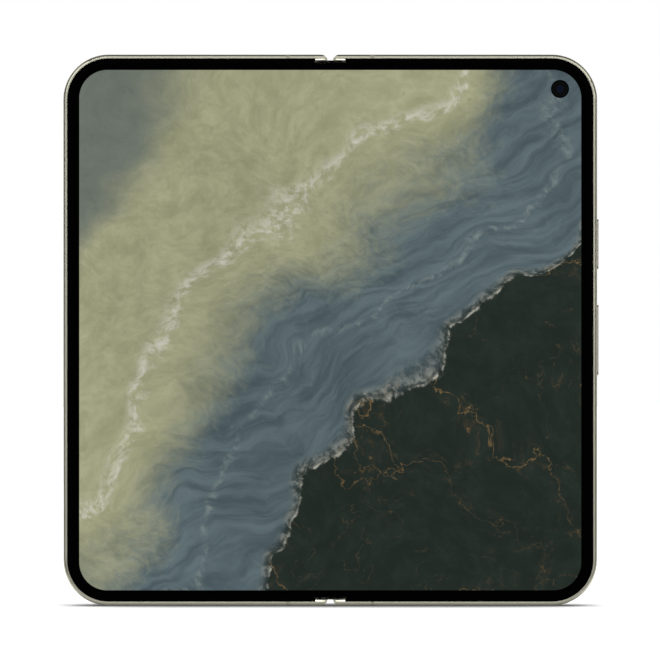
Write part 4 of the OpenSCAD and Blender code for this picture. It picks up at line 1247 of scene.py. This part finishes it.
def assign(node: str, material: Material) -> None:
    """Puts a material on every slot of a node.

    Args:
        node: The node.
        material: The material.
    """
    owner = frame["nodes"][node]
    if not owner.material_slots:
        owner.data.materials.append(material)
    for slot in owner.material_slots:
        slot.material = material


@dataclass
class Solids:
    """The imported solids, each with the finish of its slot in the record."""

    def build(self) -> None:
        """Dresses every node whose slot has a finish here."""
        for row in frame["record"]["subparts"]:
            if row["material_slot"] in FINISHES:
                assign(row["node"], finish(row["material_slot"]))


@dataclass
class Studio:
    """White floor and surroundings, soft boxes and camera."""

    distance: float = 3.101
    lens: float = 600.0
    sensor: float = 36.0
    height: float = 77.6 * MM
    across: float = -0.07 * MM
    floor_size: float = 8.0
    floor_drop: float = 0.01 * MM
    camera_hole: float = 0.992
    hole_edge: float = 0.006
    hole_level: float = 0.01
    side_level: float = 0.14
    ring: Tuple[float, float] = (0.84, 0.95)
    ring_level: float = 1.7
    back: Tuple[float, float] = (0.45, 0.95)
    low_back: float = 0.3
    bounce: float = 0.012
    foot_glow: float = 0.45
    foot_reach: Tuple[float, float] = (0.0006, 0.004)
    # painted contact shadow: how dark the floor's ambient-occlusion darkening gets, and how far it
    # reaches
    contact_shade: float = 0.62
    contact_reach: float = 0.045
    lamp_size: float = 1.5

    def build(self) -> None:
        """Builds the studio."""
        self.floor()
        self.world()
        for name, place, power in (
            ("key_left", (-1.1, -2.2, 1.1), 12.0),
            ("key_right", (1.2, -2.1, 1.0), 10.0),
            ("rear_left", (-1.2, 2.1, 1.2), 10.0),
            ("rear_right", (1.4, 1.9, 1.1), 8.0),
        ):
            self.lamp(name, place, power)
        self.camera()

    def floor(self) -> None:
        """Makes the floor: it shows as white, keeps the phone's shadow, deepened by a painted contact
        shadow from ambient occlusion round its foot, and is dark in front of it.

        Glossy rays see it dark in front, as they would a dark room beyond a white table.
        """
        material = bpy.data.materials.new("studio_floor")
        material.use_nodes = True
        tree = Tree(material.node_tree)
        camera, glossy, through = tree.rays()
        _, y, _ = tree.split(tree.node("ShaderNodeTexCoord").outputs["Object"])
        forward = 0 - y
        mirrored = glossy * forward.rise(self.bounce, self.bounce * 1.3)
        reach = {"Distance": self.contact_reach}
        closed = tree.node("ShaderNodeAmbientOcclusion", {"samples": 8}, reach)
        clear = Field(tree, closed.outputs["AO"])
        # painted contact shadow: the floor's glow fades where ambient occlusion is low, round the
        # phone's foot
        lift = clear.rise(0.6, 1.0).over(glossy * self.foot_glow * forward.rise(*self.foot_reach))
        lift = lift * (1 - mirrored) + mirrored * self.hole_level
        strength = camera.over(glossy.over(through)) * lift
        # painted contact shadow: the lit floor is mixed towards black where ambient occlusion is low
        shade = mirrored.over((1 - clear.rise(0.5, 0.9)) * self.contact_shade)
        white, black = (
            tree.node("ShaderNodeBsdfDiffuse", None, {"Color": (grey, grey, grey)}).outputs[0]
            for grey in (0.86, 0.01)
        )
        glow = tree.node("ShaderNodeEmission", None, {"Color": (1.0, 1.0, 1.0), "Strength": strength})
        lit = tree.node("ShaderNodeMixShader", None, {0: shade, 1: white, 2: black}).outputs[0]
        both = tree.node("ShaderNodeAddShader", None, {0: lit, 1: glow.outputs[0]})
        tree.node("ShaderNodeOutputMaterial", None, {"Surface": both.outputs[0]})
        far = self.floor_size
        corners = ((-far, -far), (far, -far), (far, far), (-far, far))
        shape = Shape([(x, y, -self.floor_drop) for x, y in corners], [(0, 1, 2, 3)])
        mesh = shape.mesh("floor")
        mesh.materials.append(material)
        floor = bpy.data.objects.new("floor", mesh)
        bpy.context.scene.collection.objects.link(floor)

    def world(self) -> None:
        """Makes the surroundings: white to the camera, dark towards the camera in reflections."""
        world = bpy.data.worlds.new("studio")
        world.use_nodes = True
        bpy.context.scene.world = world
        tree = Tree(world.node_tree)
        _, y, z = tree.split(tree.node("ShaderNodeTexCoord").outputs["Generated"])
        front = 0 - y
        behind = y.rise(*self.back) * (self.low_back + (1.0 - self.low_back) * z.rise(-0.1, 0.7))
        tent = self.side_level + self.ring_level * front.rise(*self.ring) + behind
        hole = front.rise(self.camera_hole - self.hole_edge, self.camera_hole)
        around = tent * (1 - hole) + hole * self.hole_level
        camera, _, through = tree.rays()
        strength = around + (1.0 - around) * camera.over(through)
        feeds = {"Color": (1.0, 1.0, 1.0), "Strength": strength}
        sky = tree.node("ShaderNodeBackground", None, feeds)
        tree.node("ShaderNodeOutputWorld", None, {"Surface": sky.outputs[0]})

    def lamp(self, name: str, place: Point, power: float) -> None:
        """Hangs a soft box that faces the phone.

        Args:
            name: Its name.
            place: Where it hangs.
            power: Its power in watts.
        """
        light = bpy.data.lights.new(name, "AREA")
        light.shape = "SQUARE"
        light.size = self.lamp_size
        light.energy = power
        lamp = bpy.data.objects.new(name, light)
        lamp.location = place
        aim = Vector((0.0, 0.0, self.height)) - Vector(place)
        lamp.rotation_euler = aim.to_track_quat("-Z", "Y").to_euler()
        bpy.context.scene.collection.objects.link(lamp)

    def camera(self) -> None:
        """Sets the camera level with the phone's middle, square to its screen."""
        data = bpy.data.cameras.new("camera")
        data.lens = self.lens
        data.sensor_width = self.sensor
        data.clip_end = 100.0
        camera = bpy.data.objects.new("camera", data)
        camera.location = (self.across, -self.distance, self.height)
        camera.rotation_euler = (math.pi / 2, 0.0, 0.0)
        bpy.context.scene.collection.objects.link(camera)
        bpy.context.scene.camera = camera


def main() -> None:
    """Builds the phone's looks and the studio, in order."""
    logging.basicConfig(level=logging.INFO, format="%(message)s")
    bpy.context.scene.view_settings.view_transform = "Standard"
    Solids().build()
    InnerDisplay().build()
    RearCameras().build()
    # painted reflection tints of the selfie lens's coating: middle, ring and rim
    blue = (tone(14, 22, 40), tone(26, 30, 44), tone(10, 12, 16))
    Camera("selfie_lens", "inner_camera", 1.25 * MM, blue, 0.03 * MM, 0.0, -1.0).build()
    rows = RowTree()
    BottomEdge(rows).build()
    HingeNotch(rows).build()
    Studio().build()


if __name__ == "__main__":
    main()
